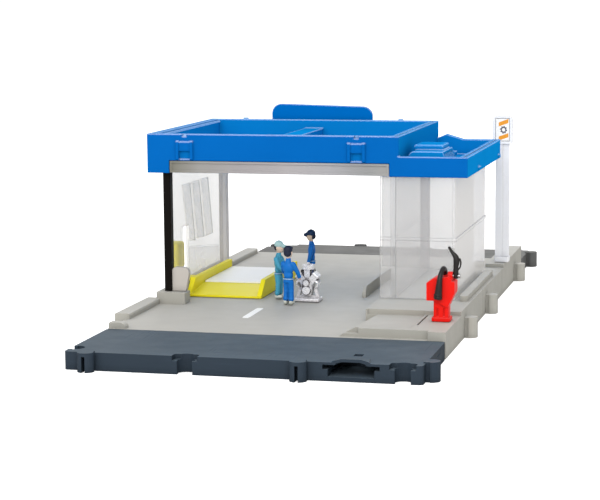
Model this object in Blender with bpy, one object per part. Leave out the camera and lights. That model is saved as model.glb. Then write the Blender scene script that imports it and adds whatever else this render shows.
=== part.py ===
"""Toy garage on a modular road base, modelled at its real size in metres, +Z up.

The origin is the centre of the base's underside. -Y is the open front, +X the office side.
"""

import math

import bmesh
import bpy
from mathutils import Matrix, Vector

# Clearances and walls
GAP = 0.0003            # between two pieces that touch
RUN = 0.0010            # running clearance of a sliding piece
SINK = 0.0010           # how far a joined shape reaches into the one that carries it
PAST = 0.0020           # how far a cutter stands past the face that it opens
SHELL = 0.0020          # moulded wall of the base and of the roof floor
RIB = 0.0016            # rib under the base
CLEAR_WALL = 0.0016     # clear plastic panel

# Base: a dark road strip, the light deck, and a second dark strip
BASE_W = 0.176
FRONT_L = 0.062
DECK_L = 0.290
REAR_L = 0.041
ROAD_Z = 0.0090         # top of the road, above the table
KERB_Z = 0.0122         # top of the connector blocks
FORE_Z = 0.0135         # top of the parking pavement
PAVE_Z = 0.0155         # top of the building's pavement
SIGN_Z = 0.0175         # top of the pad that carries the sign
CELL = 0.036            # largest cell between ribs

# Building
SETBACK = 0.0825        # from the deck's front edge to the posts
BUILDING_D = 0.118      # from the front of the front posts to the back of the rear posts
POST = 0.0050
POST_INSET = 0.0020     # from the deck's left edge to the left posts
ROOF_Z = 0.0820         # underside of the roof
ROOF_H = 0.0215
ANNEX_W = 0.0370
ANNEX_H = 0.0108
ROOF_SIDE_LIP = 0.0040  # overhang of the roof past the base on the left
ROOF_INSET = 0.0020     # from the base's right edge to the annex
ROOF_LIP = 0.0035       # overhang at the front, and at the back
RIM = 0.0044

# Office
OFFICE_INSET = 0.0090   # from the base's right edge
OFFICE_W = 0.0345
OFFICE_WING = 0.0065    # how far its front wall runs on to the left
OFFICE_D = 0.1090

# Car lift
LIFT_INSET = 0.0095     # from the base's left edge
LIFT_SETBACK = 0.0220   # from the front of the posts
LIFT_W = 0.0440
LIFT_D = 0.0840
LIFT_H = 0.0095
LIFT_WALL = 0.0026
LIFT_TRAVEL = 0.0280
ARM_SETBACK = 0.0160    # from the tray's front to the middle of its arm
ARM_W = 0.0080
ARM_H = 0.0022

# Connectors along the edges: a split peg on a straight neck, and the keyhole that it snaps into
NECK_W = 0.0070
NECK_L = 0.0021
PEG_R = 0.0042
PEG_CENTRE = 0.0023     # from the edge to the middle of the bulb
PEG_H = 0.0096
SIDE_PEG_H = 0.0108
PEG_SLOT = 0.0017
PEG_BRIDGE = 0.0018     # web that closes the slot at the top
SOCKET_R = 0.0045
SOCKET_MOUTH = 0.0076
SOCKET_LIP = 0.0018
RECESS_W = 0.0127
RECESS_D = 0.0055
RECESS_H = 0.0024
CONNECTOR_REACH = PEG_CENTRE + PEG_R
PEG_FROM_LEFT = 0.0121
SOCKET_FROM_LEFT = 0.0610
PEG_FROM_RIGHT = 0.0587
SOCKET_FROM_RIGHT = 0.0095
SIDE_PEG_FRONT = 0.0625     # from the deck's front edge
SIDE_PEG_MIDDLE = 0.0550    # from the front of the posts
SIDE_PEG_REAR = 0.0315      # from the deck's rear edge
STRIP_SIDE_INSET = 0.0105
TRACK_FROM_RIGHT = 0.0340
TRACK_W = 0.0273

# Fuel pump, measured from the parking pavement up
PUMP_FROM_RIGHT = 0.0074
PUMP_FROM_FRONT = 0.0325
PUMP_COLUMN_W = 0.0078
PUMP_COLUMN_D = 0.0074
PUMP_FLANGE_W = 0.0096
PUMP_HEAD_W = 0.0144
PUMP_HEAD_D = 0.0098
PUMP_HEAD_Z = 0.0107
PUMP_HEAD_H = 0.0100
HOSE_R = 0.0016
HOSE_TOP_R = 0.0012
PIN_R = 0.0008
EYE_R = 0.0021
NOZZLE_T = 0.0024

# Sign by the road
SIGN_FROM_RIGHT = 0.0025
SIGN_SETBACK = 0.0170   # behind the posts
SIGN_POST_W = 0.0082
SIGN_T = 0.0020
SIGN_POST_H = 0.0740
SIGN_HEAD_W = 0.0118
SIGN_HEAD_H = 0.0170

# Figures
FIGURE_H = 0.0335

# Screws from below
SCREW_HEAD_R = 0.0026
SCREW_HEAD_H = 0.0016
SCREW_R = 0.0011
SCREW_BITE = 0.0055     # how far a screw goes into a post
POST_SCREW_SEAT = 0.0036
TONGUE_SCREW_SEAT = 0.0020
BOSS_R = 0.0041
TONGUE_W = 0.0180
TONGUE_L = 0.0125
TONGUE_T = 0.0034
TONGUE_FROM_LEFT = 0.0360
TONGUE_FROM_RIGHT = 0.0710

# Places that follow from the sizes above
X_L = -BASE_W / 2
X_R = BASE_W / 2
Y_FRONT = -(FRONT_L + DECK_L + REAR_L) / 2
Y_DECK = Y_FRONT + FRONT_L
Y_REAR = Y_DECK + DECK_L
Y_BACK = Y_REAR + REAR_L
Y_POSTS = Y_DECK + SETBACK
Y_POSTS_END = Y_POSTS + BUILDING_D
WALL_TOP = ROOF_Z - GAP
ROOF_L = X_L - ROOF_SIDE_LIP
ROOF_R = X_R - ROOF_INSET
ROOF_SPLIT = ROOF_R - ANNEX_W
ROOF_FRONT = Y_POSTS - ROOF_LIP
ROOF_BACK = Y_POSTS_END + ROOF_LIP
LEFT_POST_X = X_L + POST_INSET
OFFICE_R = X_R - OFFICE_INSET
OFFICE_L = OFFICE_R - OFFICE_W
OFFICE_FRONT_L = OFFICE_L - OFFICE_WING
LIFT_L = X_L + LIFT_INSET
LIFT_R = LIFT_L + LIFT_W
LIFT_FRONT = Y_POSTS + LIFT_SETBACK
LIFT_BACK = LIFT_FRONT + LIFT_D
ARM_Y = LIFT_FRONT + ARM_SETBACK
ARM_Z = PAVE_Z + 0.0008
PEG_X = (X_L + PEG_FROM_LEFT, X_R - PEG_FROM_RIGHT)
SOCKET_X = (X_L + SOCKET_FROM_LEFT, X_R - SOCKET_FROM_RIGHT)
SIDE_PEG_Y = (Y_DECK + SIDE_PEG_FRONT, Y_POSTS + SIDE_PEG_MIDDLE, Y_REAR - SIDE_PEG_REAR)
SIDE_SOCKET_Y = (SIDE_PEG_Y[0], SIDE_PEG_Y[2])
TONGUE_X = (X_L + TONGUE_FROM_LEFT, X_R - TONGUE_FROM_RIGHT)


def clear_scene():
    for old in list(bpy.data.objects):
        bpy.data.objects.remove(old, do_unlink=True)


def finish(name, colour, roughness=0.4, metallic=0.0, alpha=1.0):
    material = bpy.data.materials.new(name)
    material.use_nodes = True
    shader = material.node_tree.nodes["Principled BSDF"]
    shader.inputs["Base Color"].default_value = (*colour, 1.0)
    shader.inputs["Roughness"].default_value = roughness
    shader.inputs["Metallic"].default_value = metallic
    shader.inputs["Alpha"].default_value = alpha
    material.diffuse_color = (*colour, alpha)
    return material


def new_object(name, mesh_tool):
    bmesh.ops.recalc_face_normals(mesh_tool, faces=mesh_tool.faces)
    mesh = bpy.data.meshes.new(name)
    mesh_tool.to_mesh(mesh)
    mesh_tool.free()
    piece = bpy.data.objects.new(name, mesh)
    bpy.context.scene.collection.objects.link(piece)
    return piece


def block(name, x, y, z, bevel=0.0, along="XYZ", segments=2):
    """A box between the pairs x, y and z, with the edges that run along the named axes rounded."""
    mesh_tool = bmesh.new()
    size = Vector((x[1] - x[0], y[1] - y[0], z[1] - z[0]))
    middle = Vector((x[0] + x[1], y[0] + y[1], z[0] + z[1])) / 2
    place = Matrix.Translation(middle) @ Matrix.Diagonal((*size, 1.0))
    bmesh.ops.create_cube(mesh_tool, size=1.0, matrix=place)
    if bevel:
        chosen = []
        for edge in mesh_tool.edges:
            step = edge.verts[1].co - edge.verts[0].co
            direction = "XYZ"[max(range(3), key=lambda axis: abs(step[axis]))]
            if direction in along:
                chosen.append(edge)
        bmesh.ops.bevel(
            mesh_tool, geom=chosen, offset=bevel, segments=segments, profile=0.5, affect="EDGES"
        )
    return new_object(name, mesh_tool)


def prism(name, outline, across, low, high):
    """An outline in the plane across one axis, extruded from low to high along that axis."""
    place = {
        "X": lambda a, b, c: Vector((c, a, b)),
        "Y": lambda a, b, c: Vector((a, c, b)),
        "Z": lambda a, b, c: Vector((a, b, c)),
    }[across]
    mesh_tool = bmesh.new()
    face = mesh_tool.faces.new([mesh_tool.verts.new(place(a, b, low)) for a, b in outline])
    made = bmesh.ops.extrude_face_region(mesh_tool, geom=[face])["geom"]
    shift = place(0, 0, high) - place(0, 0, low)
    moved = [vertex for vertex in made if isinstance(vertex, bmesh.types.BMVert)]
    bmesh.ops.translate(mesh_tool, verts=moved, vec=shift)
    return new_object(name, mesh_tool)


def turned(name, profile, base, direction="Z", sides=16):
    """A closed turned solid: profile pairs are (radius, height) from one pole to the other."""
    mesh_tool = bmesh.new()
    rings = []
    for radius, height in profile:
        if radius == 0:
            rings.append([mesh_tool.verts.new((0, 0, height))])
            continue
        ring = []
        for step in range(sides):
            angle = 2 * math.pi * step / sides
            ring.append(mesh_tool.verts.new((radius * math.cos(angle), radius * math.sin(angle), height)))
        rings.append(ring)
    for lower, upper in zip(rings, rings[1:]):
        for step in range(sides):
            after = (step + 1) % sides
            corners = [lower[step % len(lower)], lower[after % len(lower)]]
            corners += [upper[after % len(upper)], upper[step % len(upper)]]
            mesh_tool.faces.new(list(dict.fromkeys(corners)))
    for ring, order in ((rings[0], -1), (rings[-1], 1)):
        if len(ring) > 1:
            mesh_tool.faces.new(ring[::order])
    turn = {
        "Z": Matrix(),
        "X": Matrix.Rotation(math.pi / 2, 4, "Y"),
        "Y": Matrix.Rotation(-math.pi / 2, 4, "X"),
    }[direction]
    bmesh.ops.transform(mesh_tool, matrix=Matrix.Translation(base) @ turn, verts=mesh_tool.verts)
    return new_object(name, mesh_tool)


def disc(name, radius, low, high, at, direction="Z", sides=16):
    return turned(name, [(radius, low), (radius, high)], at, direction, sides)


def rounded(x0, x1, y0, y1, radii, steps=4):
    """A rectangle's outline with its own radius at each corner, from the low corner round to the left."""
    corners = [(x0, y0, 1, 1, 180), (x1, y0, -1, 1, 270), (x1, y1, -1, -1, 0), (x0, y1, 1, -1, 90)]
    points = []
    for (cx, cy, sx, sy, start), radius in zip(corners, radii):
        if not radius:
            points.append((cx, cy))
            continue
        for step in range(steps + 1):
            angle = math.radians(start + 90 * step / steps)
            middle = (cx + sx * radius, cy + sy * radius)
            points.append((middle[0] + radius * math.cos(angle), middle[1] + radius * math.sin(angle)))
    return points


def boolean(target, others, operation):
    """Joins or cuts the target with each of the others, which are used up."""
    for other in others:
        step = target.modifiers.new(operation.lower(), "BOOLEAN")
        step.operation = operation
        step.solver = "EXACT"
        step.object = other
        graph = bpy.context.evaluated_depsgraph_get()
        made = bpy.data.meshes.new_from_object(target.evaluated_get(graph))
        target.modifiers.clear()
        old = target.data
        target.data = made
        made.name = target.name
        bpy.data.meshes.remove(old)
        bpy.data.objects.remove(other, do_unlink=True)
    return target


def join(target, *others):
    return boolean(target, others, "UNION")


def cut(target, *others):
    return boolean(target, others, "DIFFERENCE")


def group(name, pieces):
    """Several bodies that lie apart, as one object."""
    mesh_tool = bmesh.new()
    for piece in pieces:
        mesh_tool.from_mesh(piece.data)
        bpy.data.objects.remove(piece, do_unlink=True)
    return new_object(name, mesh_tool)


def settle(piece, material, angle=35):
    """Gives the finished piece its material, and smooth shading between its round faces."""
    piece.data.materials.clear()
    piece.data.materials.append(material)
    piece.data.shade_smooth()
    piece.data.set_sharp_from_angle(angle=math.radians(angle))
    return piece


def joint_axis(name, at):
    empty = bpy.data.objects.new(name, None)
    empty.location = at
    empty.empty_display_size = 0.01
    bpy.context.scene.collection.objects.link(empty)
    return empty


def hang_on(piece, carrier):
    """Parents a piece to the empty on its joint's axis, without moving it."""
    piece.data.transform(Matrix.Translation(-carrier.location))
    piece.parent = carrier


def cells(x, y, depth):
    """The open cells between the ribs on the underside, as one cutter."""
    columns = math.ceil((x[1] - x[0]) / CELL)
    rows = math.ceil((y[1] - y[0]) / CELL)
    across = (x[1] - x[0] - SHELL * 2 - RIB * (columns - 1)) / columns
    along = (y[1] - y[0] - SHELL * 2 - RIB * (rows - 1)) / rows
    made = []
    for column in range(columns):
        for row in range(rows):
            left = x[0] + SHELL + column * (across + RIB)
            front = y[0] + SHELL + row * (along + RIB)
            made.append(block("cell", (left, left + across), (front, front + along), (-PAST, depth)))
    return group("cells", made)


def keyhole(x, y, facing, radius, mouth, lip):
    """The outline that pegs and sockets share: straight for the lip's length, then a round bulb."""
    start = math.atan2(mouth / 2, lip - PEG_CENTRE)
    shoulder = math.acos((lip - PEG_CENTRE) / radius)
    outline = [(-SINK, mouth / 2), (lip, mouth / 2)]
    first = min(start, shoulder)
    steps = 12
    for step in range(steps + 1):
        angle = first - 2 * first * step / steps
        outline.append((PEG_CENTRE + radius * math.cos(angle), radius * math.sin(angle)))
    outline += [(lip, -mouth / 2), (-SINK, -mouth / 2)]
    turn = math.atan2(facing[1], facing[0])
    cosine, sine = math.cos(turn), math.sin(turn)
    return [(x + u * cosine - v * sine, y + u * sine + v * cosine) for u, v in outline]


def peg(x, y, facing, height):
    """A bulb peg, slotted from the front and from below so that it springs, with a bridge at the top."""
    body = prism("peg", keyhole(x, y, facing, PEG_R, NECK_W, NECK_L), "Z", 0, height)
    near = (x + facing[0] * PEG_SLOT, y + facing[1] * PEG_SLOT)
    far = (x + facing[0] * (CONNECTOR_REACH + PAST), y + facing[1] * (CONNECTOR_REACH + PAST))
    side = (abs(facing[1]) * PEG_SLOT / 2, abs(facing[0]) * PEG_SLOT / 2)
    spans = []
    for axis in (0, 1):
        low, high = sorted((near[axis], far[axis]))
        spans.append((low - side[axis], high + side[axis]))
    return cut(body, block("slot", *spans, (-PAST, height - PEG_BRIDGE)))


def socket(x, y, facing, top):
    """The keyhole that a neighbour's peg snaps into, as a cutter up to the height of its top."""
    inward = (-facing[0], -facing[1])
    return prism("socket", keyhole(x, y, inward, SOCKET_R, SOCKET_MOUTH, SOCKET_LIP), "Z", -PAST, top)


def socket_housing(x, y, facing, top):
    """The solid block of material that a socket is cut into."""
    deep = PEG_CENTRE + SOCKET_R + SHELL
    wide = max(SOCKET_R, RECESS_W / 2) + GAP * 2
    ends = ((x, x - facing[0] * deep), (y, y - facing[1] * deep))
    spans = [sorted(pair) for pair in ends]
    spans[0] = [spans[0][0] - abs(facing[1]) * wide, spans[0][1] + abs(facing[1]) * wide]
    spans[1] = [spans[1][0] - abs(facing[0]) * wide, spans[1][1] + abs(facing[0]) * wide]
    return block("housing", *spans, (0, top - SINK))


def socket_recess(x, y, facing, top):
    """The step in the top face above a socket, as a cutter."""
    half = RECESS_W / 2
    corner = 0.0018
    if facing[0]:
        span = sorted((x + facing[0] * PAST, x - facing[0] * RECESS_D))
        outline = rounded(*span, y - half, y + half, (corner,) * 4)
    else:
        span = sorted((y + facing[1] * PAST, y - facing[1] * RECESS_D))
        outline = rounded(x - half, x + half, *span, (corner,) * 4)
    return prism("recess", outline, "Z", top - RECESS_H, top + PAST)


clear_scene()

LIGHT_GREY = finish("deck_grey", (0.44, 0.45, 0.43), 0.5)
ROAD_GREY = finish("road_grey", (0.055, 0.085, 0.115), 0.45)
ROOF_BLUE = finish("roof_blue", (0.0, 0.16, 0.60), 0.35)
CLEAR = finish("clear_plastic", (0.90, 0.90, 0.90), 0.1, alpha=0.3)
BLACK = finish("black_plastic", (0.012, 0.010, 0.009), 0.4)
POST_GREY = finish("post_grey", (0.38, 0.37, 0.40), 0.4)
HEADER_SILVER = finish("header_silver", (0.45, 0.43, 0.42), 0.3, 0.3)
YELLOW = finish("lift_yellow", (0.68, 0.62, 0.02), 0.4)
PLATE_WHITE = finish("plate_white", (0.75, 0.75, 0.78), 0.3)
RED = finish("pump_red", (0.72, 0.01, 0.01), 0.3)
SIGN_WHITE = finish("sign_white", (0.75, 0.75, 0.78), 0.35)
SIGN_ORANGE = finish("sign_orange", (0.80, 0.30, 0.03), 0.4)
FIGURE_BLUE = finish("figure_blue", (0.0, 0.16, 0.55), 0.4)
FIGURE_TEAL = finish("figure_teal", (0.05, 0.30, 0.40), 0.4)
CHROME = finish("chrome", (0.70, 0.70, 0.72), 0.15, 1.0)
STAND_GREY = finish("stand_grey", (0.50, 0.50, 0.50), 0.4)
STEEL = finish("screw_steel", (0.55, 0.55, 0.55), 0.3, 1.0)

# Light deck: one moulding with the raised pavements, kerbs, lane guide and side connectors
FOOT_X = X_L + 0.0168           # right end of the left wall's front foot
FOOT_D = 0.0100
FOOT_Y = Y_POSTS - 0.0040
FOOTING_X = LEFT_POST_X + POST + RUN
PAVE_X = X_R - 0.0505
PAVE_FRONT = Y_DECK + 0.0485    # front face of the building's pavement
FORE_X = PAVE_X - 0.0040        # left end of the parking pavement
FORE_CORNER_X = X_R - 0.0090    # where its front face comes forward at the corner
FORE_FRONT = Y_DECK + 0.0035
LEDGE_X = PAVE_X + 0.0057       # low ledge at the left end of its front
LEDGE_D = 0.0024
LEDGE_Z = 0.0107
PAD_Y = Y_POSTS_END + 0.0070    # front of the raised sign pad
PAD_X = X_R - 0.0110
SIDE_BLOCK_X = (X_L - CONNECTOR_REACH, X_L + 0.0022)
SIDE_BLOCK_FRONT = Y_DECK + 0.0275
GUIDE_X = PAVE_X - 0.0175
GUIDE_T = 0.0020
GUIDE_Y = (Y_POSTS + 0.0385, Y_POSTS_END - 0.0060)
RAIL_X = OFFICE_R + 0.0025
RAIL_W = 0.0045
RAIL_H = 0.0030
RAIL_Y = (Y_POSTS - 0.0020, Y_POSTS + OFFICE_D - 0.0140)

inside = ROAD_Z - SHELL
boss_outline = rounded(X_L + GAP, X_L + 0.0095, inside, KERB_Z, (0, 0, 0.0030, 0.0008))
fore_outline = [
    (FORE_X, FORE_FRONT),
    (FORE_CORNER_X, FORE_FRONT),
    (FORE_CORNER_X, Y_DECK + GAP),
    (X_R, Y_DECK + GAP),
    (X_R, PAVE_FRONT + SINK * 2),
    (PAVE_X + RUN, PAVE_FRONT + SINK * 2),
]
fore = prism("fore_pavement", fore_outline, "Z", inside, FORE_Z)
ramp_outline = [
    (FORE_X - PAST, ROAD_Z + GAP),
    (FORE_X, ROAD_Z + GAP),
    (FORE_X + 0.0023, LEDGE_Z),
    (FORE_X + 0.0078, FORE_Z + GAP),
    (FORE_X + 0.0078, FORE_Z + PAST),
    (FORE_X - PAST, FORE_Z + PAST),
]
ramp = prism("ramp", ramp_outline, "Y", FORE_FRONT - PAST, PAVE_FRONT + PAST * 2)
for corner in ramp.data.vertices:
    if corner.co.y > PAVE_FRONT:
        corner.co.x += PAVE_X + RUN - FORE_X
ledge_x = (FORE_X - PAST, LEDGE_X)
ledge = block("ledge", ledge_x, (FORE_FRONT - PAST, FORE_FRONT + LEDGE_D), (LEDGE_Z, FORE_Z + PAST))
cut(fore, ramp, ledge)

deck = block("base_deck", (X_L, X_R), (Y_DECK + GAP, Y_REAR - GAP), (0, ROAD_Z))
foot_y = (FOOT_Y, FOOT_Y + FOOT_D)
front_block_y = (SIDE_BLOCK_FRONT, FOOT_Y + PAST)
rear_block_y = (ROOF_BACK + PAST, Y_REAR - 0.0055)
guide_outline = rounded(*GUIDE_Y, inside, PAVE_Z, (0, 0, 0.0020, 0.0050))
rail_outline = rounded(RAIL_X, RAIL_X + RAIL_W, *RAIL_Y, (0.0022,) * 4)
join(
    deck,
    block("foot", (X_L, FOOT_X), foot_y, (inside, PAVE_Z), bevel=0.0008, along="Z"),
    block("footing", (X_L, FOOTING_X), (foot_y[1] - PAST, ROOF_BACK), (inside, PAVE_Z)),
    block("front_side_block", SIDE_BLOCK_X, front_block_y, (0, KERB_Z), bevel=0.0012, along="YZ"),
    block("rear_side_block", SIDE_BLOCK_X, rear_block_y, (0, KERB_Z), bevel=0.0012, along="YZ"),
    prism("left_boss", boss_outline, "Y", Y_DECK + GAP * 2, Y_DECK + 0.0055),
    fore,
    block("pavement", (PAVE_X, X_R), (PAVE_FRONT, ROOF_BACK), (inside, PAVE_Z)),
    block("sign_pad", (PAD_X, X_R), (PAD_Y, Y_REAR - GAP), (inside, SIGN_Z)),
    block("pavement_link", (PAD_X, X_R), (ROOF_BACK - PAST, PAD_Y + PAST), (inside, PAVE_Z)),
    prism("lane_guide", guide_outline, "X", GUIDE_X, GUIDE_X + GUIDE_T),
    prism("rail", rail_outline, "Z", PAVE_Z - SINK, PAVE_Z + RAIL_H),
)
BAY_DEPTH = 0.0008
BAY_R = X_R - 0.0190
BAY_FRONT = FORE_FRONT + 0.0030
JOINT_X = BAY_R + 0.0012
JOINT_W = 0.0010
JOINT_FRONT = Y_DECK + 0.0179
SEAM_W = 0.0008
SEAM_D = 0.0005
bay_z = (FORE_Z - BAY_DEPTH, PAVE_Z + PAST)
cut(
    deck,
    block("parking_bay", (PAVE_X + RUN, BAY_R), (BAY_FRONT, PAVE_FRONT + BAY_DEPTH), bay_z),
    block("pavement_joint", (JOINT_X, JOINT_X + JOINT_W), (JOINT_FRONT, PAVE_FRONT - JOINT_W), bay_z),
    cells((X_L, X_R), (Y_DECK + GAP, Y_REAR - GAP), inside),
)
for y in (Y_POSTS + 0.0410, Y_POSTS_END):
    seam_x = (X_R - SEAM_D, X_R + PAST)
    cut(deck, block("side_seam", seam_x, (y, y + SEAM_W), (-PAST, SIGN_Z + PAST)))

POST_SCREWS = [
    (LEFT_POST_X + POST / 2, Y_POSTS + POST / 2),
    (LEFT_POST_X + POST / 2, Y_POSTS_END - POST / 2),
    (PAVE_X + 0.0020 + POST / 2, Y_POSTS_END - POST / 2),
]
TONGUE_SCREWS = []
for y in (Y_DECK + TONGUE_L / 2, Y_REAR - TONGUE_L / 2):
    TONGUE_SCREWS += [(x, y) for x in TONGUE_X]
join(deck, *[disc("boss", BOSS_R, 0, ROAD_Z - SINK, (x, y, 0)) for x, y in POST_SCREWS + TONGUE_SCREWS])
join(deck, disc("centre_boss", 0.0080, 0, ROAD_Z - SINK, (0, 0, 0), sides=24))
join(deck, *[peg(X_R, y, (1, 0), SIDE_PEG_H) for y in SIDE_PEG_Y])
side_socket_top = SIDE_PEG_H + GAP
cut(deck, *[socket(X_L - CONNECTOR_REACH, y, (-1, 0), side_socket_top) for y in SIDE_SOCKET_Y])
for x in TONGUE_X:
    room_x = (x - TONGUE_W / 2 - GAP, x + TONGUE_W / 2 + GAP)
    room_z = (-PAST, TONGUE_T + GAP)
    cut(deck, block("front_tongue_room", room_x, (Y_DECK - PAST, Y_DECK + TONGUE_L + GAP), room_z))
    cut(deck, block("rear_tongue_room", room_x, (Y_REAR - TONGUE_L - GAP, Y_REAR + PAST), room_z))
hole = SCREW_R + GAP
head_hole = SCREW_HEAD_R + GAP
cut(deck, *[disc("screw_room", hole, -PAST, PAVE_Z + PAST, (x, y, 0), sides=12) for x, y in POST_SCREWS])
cut(deck, *[disc("head_room", head_hole, -PAST, POST_SCREW_SEAT, (x, y, 0)) for x, y in POST_SCREWS])
cut(deck, *[disc("screw_room", hole, 0, ROAD_Z - SHELL, (x, y, 0), sides=12) for x, y in TONGUE_SCREWS])
settle(deck, LIGHT_GREY)


# Dark road strips: the same section at the front and the back, with split pegs and keyhole sockets
def road_strip(name, y, outward, pegs, sockets):
    """A strip between the pair y. Its connectors are on the side that outward, -1 or 1, gives."""
    outer = y[0] if outward < 0 else y[1]
    inner = y[1] if outward < 0 else y[0]
    facing = (0, outward)
    left = (-1, 0)
    side_y = outer - outward * STRIP_SIDE_INSET
    strip = prism(name, rounded(X_L, X_R, *y, (0.0020,) * 4), "Z", 0, ROAD_Z)
    cut(strip, cells((X_L, X_R), y, ROAD_Z - SHELL))
    join(strip, *[socket_housing(x, outer, facing, ROAD_Z) for x in sockets])
    join(strip, socket_housing(X_L, side_y, left, ROAD_Z))
    join(strip, *[peg(x, outer, facing, PEG_H) for x in pegs], peg(X_R, side_y, (1, 0), PEG_H))
    for x in TONGUE_X:
        ends = sorted((inner - outward * (TONGUE_L - GAP), inner + outward * PAST))
        join(strip, block("tongue", (x - TONGUE_W / 2, x + TONGUE_W / 2), ends, (0, TONGUE_T)))
    cut(strip, *[socket(x, outer, facing, ROAD_Z + PAST) for x in sockets])
    cut(strip, socket(X_L, side_y, left, ROAD_Z + PAST))
    cut(strip, *[socket_recess(x, outer, facing, ROAD_Z) for x in sockets])
    near = [(x, sy) for x, sy in TONGUE_SCREWS if abs(sy - inner) < TONGUE_L]
    cut(strip, *[disc("screw_room", hole, -PAST, ROAD_Z, (x, sy, 0), sides=12) for x, sy in near])
    cut(strip, *[disc("head_room", head_hole, -PAST, TONGUE_SCREW_SEAT, (x, sy, 0)) for x, sy in near])
    return strip


def fade_back(piece, front, above, level, squeeze):
    """Lowers the back end of a piece's upper points to one level, and draws them in sideways."""
    middle = X_R - TRACK_FROM_RIGHT
    for corner in piece.data.vertices:
        if corner.co.y - front > SINK * 2 and corner.co.z > above:
            corner.co.z = level
            corner.co.x = middle + (corner.co.x - middle) * squeeze
    return piece


def track_mouth(strip, y):
    """The opening that a length of track plugs into, with its arched hump and latch hole."""
    middle = X_R - TRACK_FROM_RIGHT
    half = TRACK_W / 2
    deep = 0.0280
    hump_d = 0.0110
    crown_d = 0.0085
    hump_section = [(-0.0105, 0), (0.0105, 0), (0.0086, 0.0018), (0.0050, 0.0028)]
    hump_section += [(-0.0046, 0.0028), (-0.0086, 0.0018)]
    hump_points = [(middle + u, ROAD_Z - SINK + v) for u, v in hump_section]
    hump = fade_back(prism("hump", hump_points, "Y", y, y + hump_d), y, ROAD_Z, ROAD_Z + GAP, 0.8)
    housing_x = (middle - half - SHELL, middle + half + SHELL)
    join(strip, block("mouth_housing", housing_x, (y, y + deep + SHELL), (0, ROAD_Z - SINK)), hump)
    lower, wing, roof = 0.0022, 0.0056, 0.0078
    shoulder = half - 0.0025
    throat = [(-shoulder, lower), (shoulder, lower), (shoulder, wing), (half, wing), (half, roof)]
    throat += [(-half, roof), (-half, wing), (-shoulder, wing)]
    cut(strip, prism("throat", [(middle + u, v) for u, v in throat], "Y", y - PAST, y + deep))
    arch = [(-0.0080, -GAP), (0.0082, -GAP), (0.0068, 0.0012), (0.0044, 0.0019)]
    arch += [(-0.0040, 0.0019), (-0.0068, 0.0012)]
    crown = prism("crown", [(middle + u, roof + v) for u, v in arch], "Y", y - PAST, y + crown_d)
    cut(strip, fade_back(crown, y, roof, roof + GAP / 2, 0.8))
    hole_x = (middle - 0.0026, middle + 0.0017)
    cut(strip, block("latch_hole", hole_x, (y + 0.0172, y + 0.0224), (roof - SINK, ROAD_Z + PAST)))


front_strip = road_strip("front_road_strip", (Y_FRONT, Y_DECK - GAP), -1, PEG_X, SOCKET_X)
track_mouth(front_strip, Y_FRONT)
settle(front_strip, ROAD_GREY)
rear_strip = road_strip("rear_road_strip", (Y_REAR + GAP, Y_BACK), 1, SOCKET_X, PEG_X)
settle(rear_strip, ROAD_GREY)


# Self-tapping screws, seen only from below
def screw(name, x, y, seat, tip):
    """A pan-head screw whose head bears on the plane at seat, driven up to the height of its tip."""
    base = seat - SCREW_HEAD_H
    chamfer = SCREW_HEAD_H * 0.4
    profile = [
        (0, base),
        (SCREW_HEAD_R - chamfer, base),
        (SCREW_HEAD_R, base + chamfer),
        (SCREW_HEAD_R, seat),
        (SCREW_R, seat),
        (SCREW_R, tip - SCREW_R),
        (0, tip),
    ]
    return settle(turned(name, profile, (x, y, 0), sides=12), STEEL)


for number, (x, y) in enumerate(POST_SCREWS):
    screw(f"post_screw_{number + 1}", x, y, POST_SCREW_SEAT - GAP, PAVE_Z + SCREW_BITE)
for number, (x, y) in enumerate(TONGUE_SCREWS):
    screw(f"strip_screw_{number + 1}", x, y, TONGUE_SCREW_SEAT - GAP, ROAD_Z - SHELL - GAP)


# Posts, with a blind hole for their screw
def post(name, centre, material):
    x = (centre[0] - POST / 2, centre[0] + POST / 2)
    y = (centre[1] - POST / 2, centre[1] + POST / 2)
    column = block(name, x, y, (PAVE_Z + GAP, WALL_TOP), bevel=0.0004, along="Z", segments=1)
    cut(column, disc("screw_hole", hole, 0, PAVE_Z + SCREW_BITE + GAP, (*centre, 0), sides=12))
    return settle(column, material)


post("front_left_post", POST_SCREWS[0], BLACK)
post("rear_left_post", POST_SCREWS[1], POST_GREY)
post("rear_right_post", POST_SCREWS[2], POST_GREY)

# Left wall: clear panel between the posts, with leaning bands, a lower panel and the lift arm's slot
WALL_X = LEFT_POST_X + 0.0010
BAND_W = 0.0143
BAND_T = 0.0006
BAND_PITCH = 0.0177
BAND_LEAN = 0.0086
BAND_Z = (0.0370, 0.0715)
BAND_START = Y_POSTS + 0.0315
DADO_Y = (Y_POSTS + 0.0404, Y_POSTS_END - 0.0119)
wall_ends = (Y_POSTS + POST + GAP, Y_POSTS_END - POST - GAP)
left_wall = block("left_wall", (WALL_X, WALL_X + CLEAR_WALL), wall_ends, (PAVE_Z + GAP, WALL_TOP))
for number in range(3):
    start = BAND_START + number * BAND_PITCH
    outline = [
        (start + BAND_LEAN, BAND_Z[0] + 0.0010 * (2 - number)),
        (start + BAND_LEAN + BAND_W, BAND_Z[0]),
        (start + BAND_W, BAND_Z[1]),
        (start, BAND_Z[1]),
    ]
    join(left_wall, prism("band", outline, "X", WALL_X + SINK, WALL_X + CLEAR_WALL + BAND_T))
dado = [(DADO_Y[0], 0.0180), (DADO_Y[1], 0.0180), (DADO_Y[1], 0.0278), (DADO_Y[0], 0.0352)]
join(left_wall, prism("dado", dado, "X", WALL_X + SINK, WALL_X + CLEAR_WALL + BAND_T / 2))
slot_half = ARM_W / 2 + GAP * 2
slot_z = (PAVE_Z - PAST, ARM_Z + ARM_H + LIFT_TRAVEL + RUN)
slot_x = (WALL_X - PAST, WALL_X + CLEAR_WALL + PAST)
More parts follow.
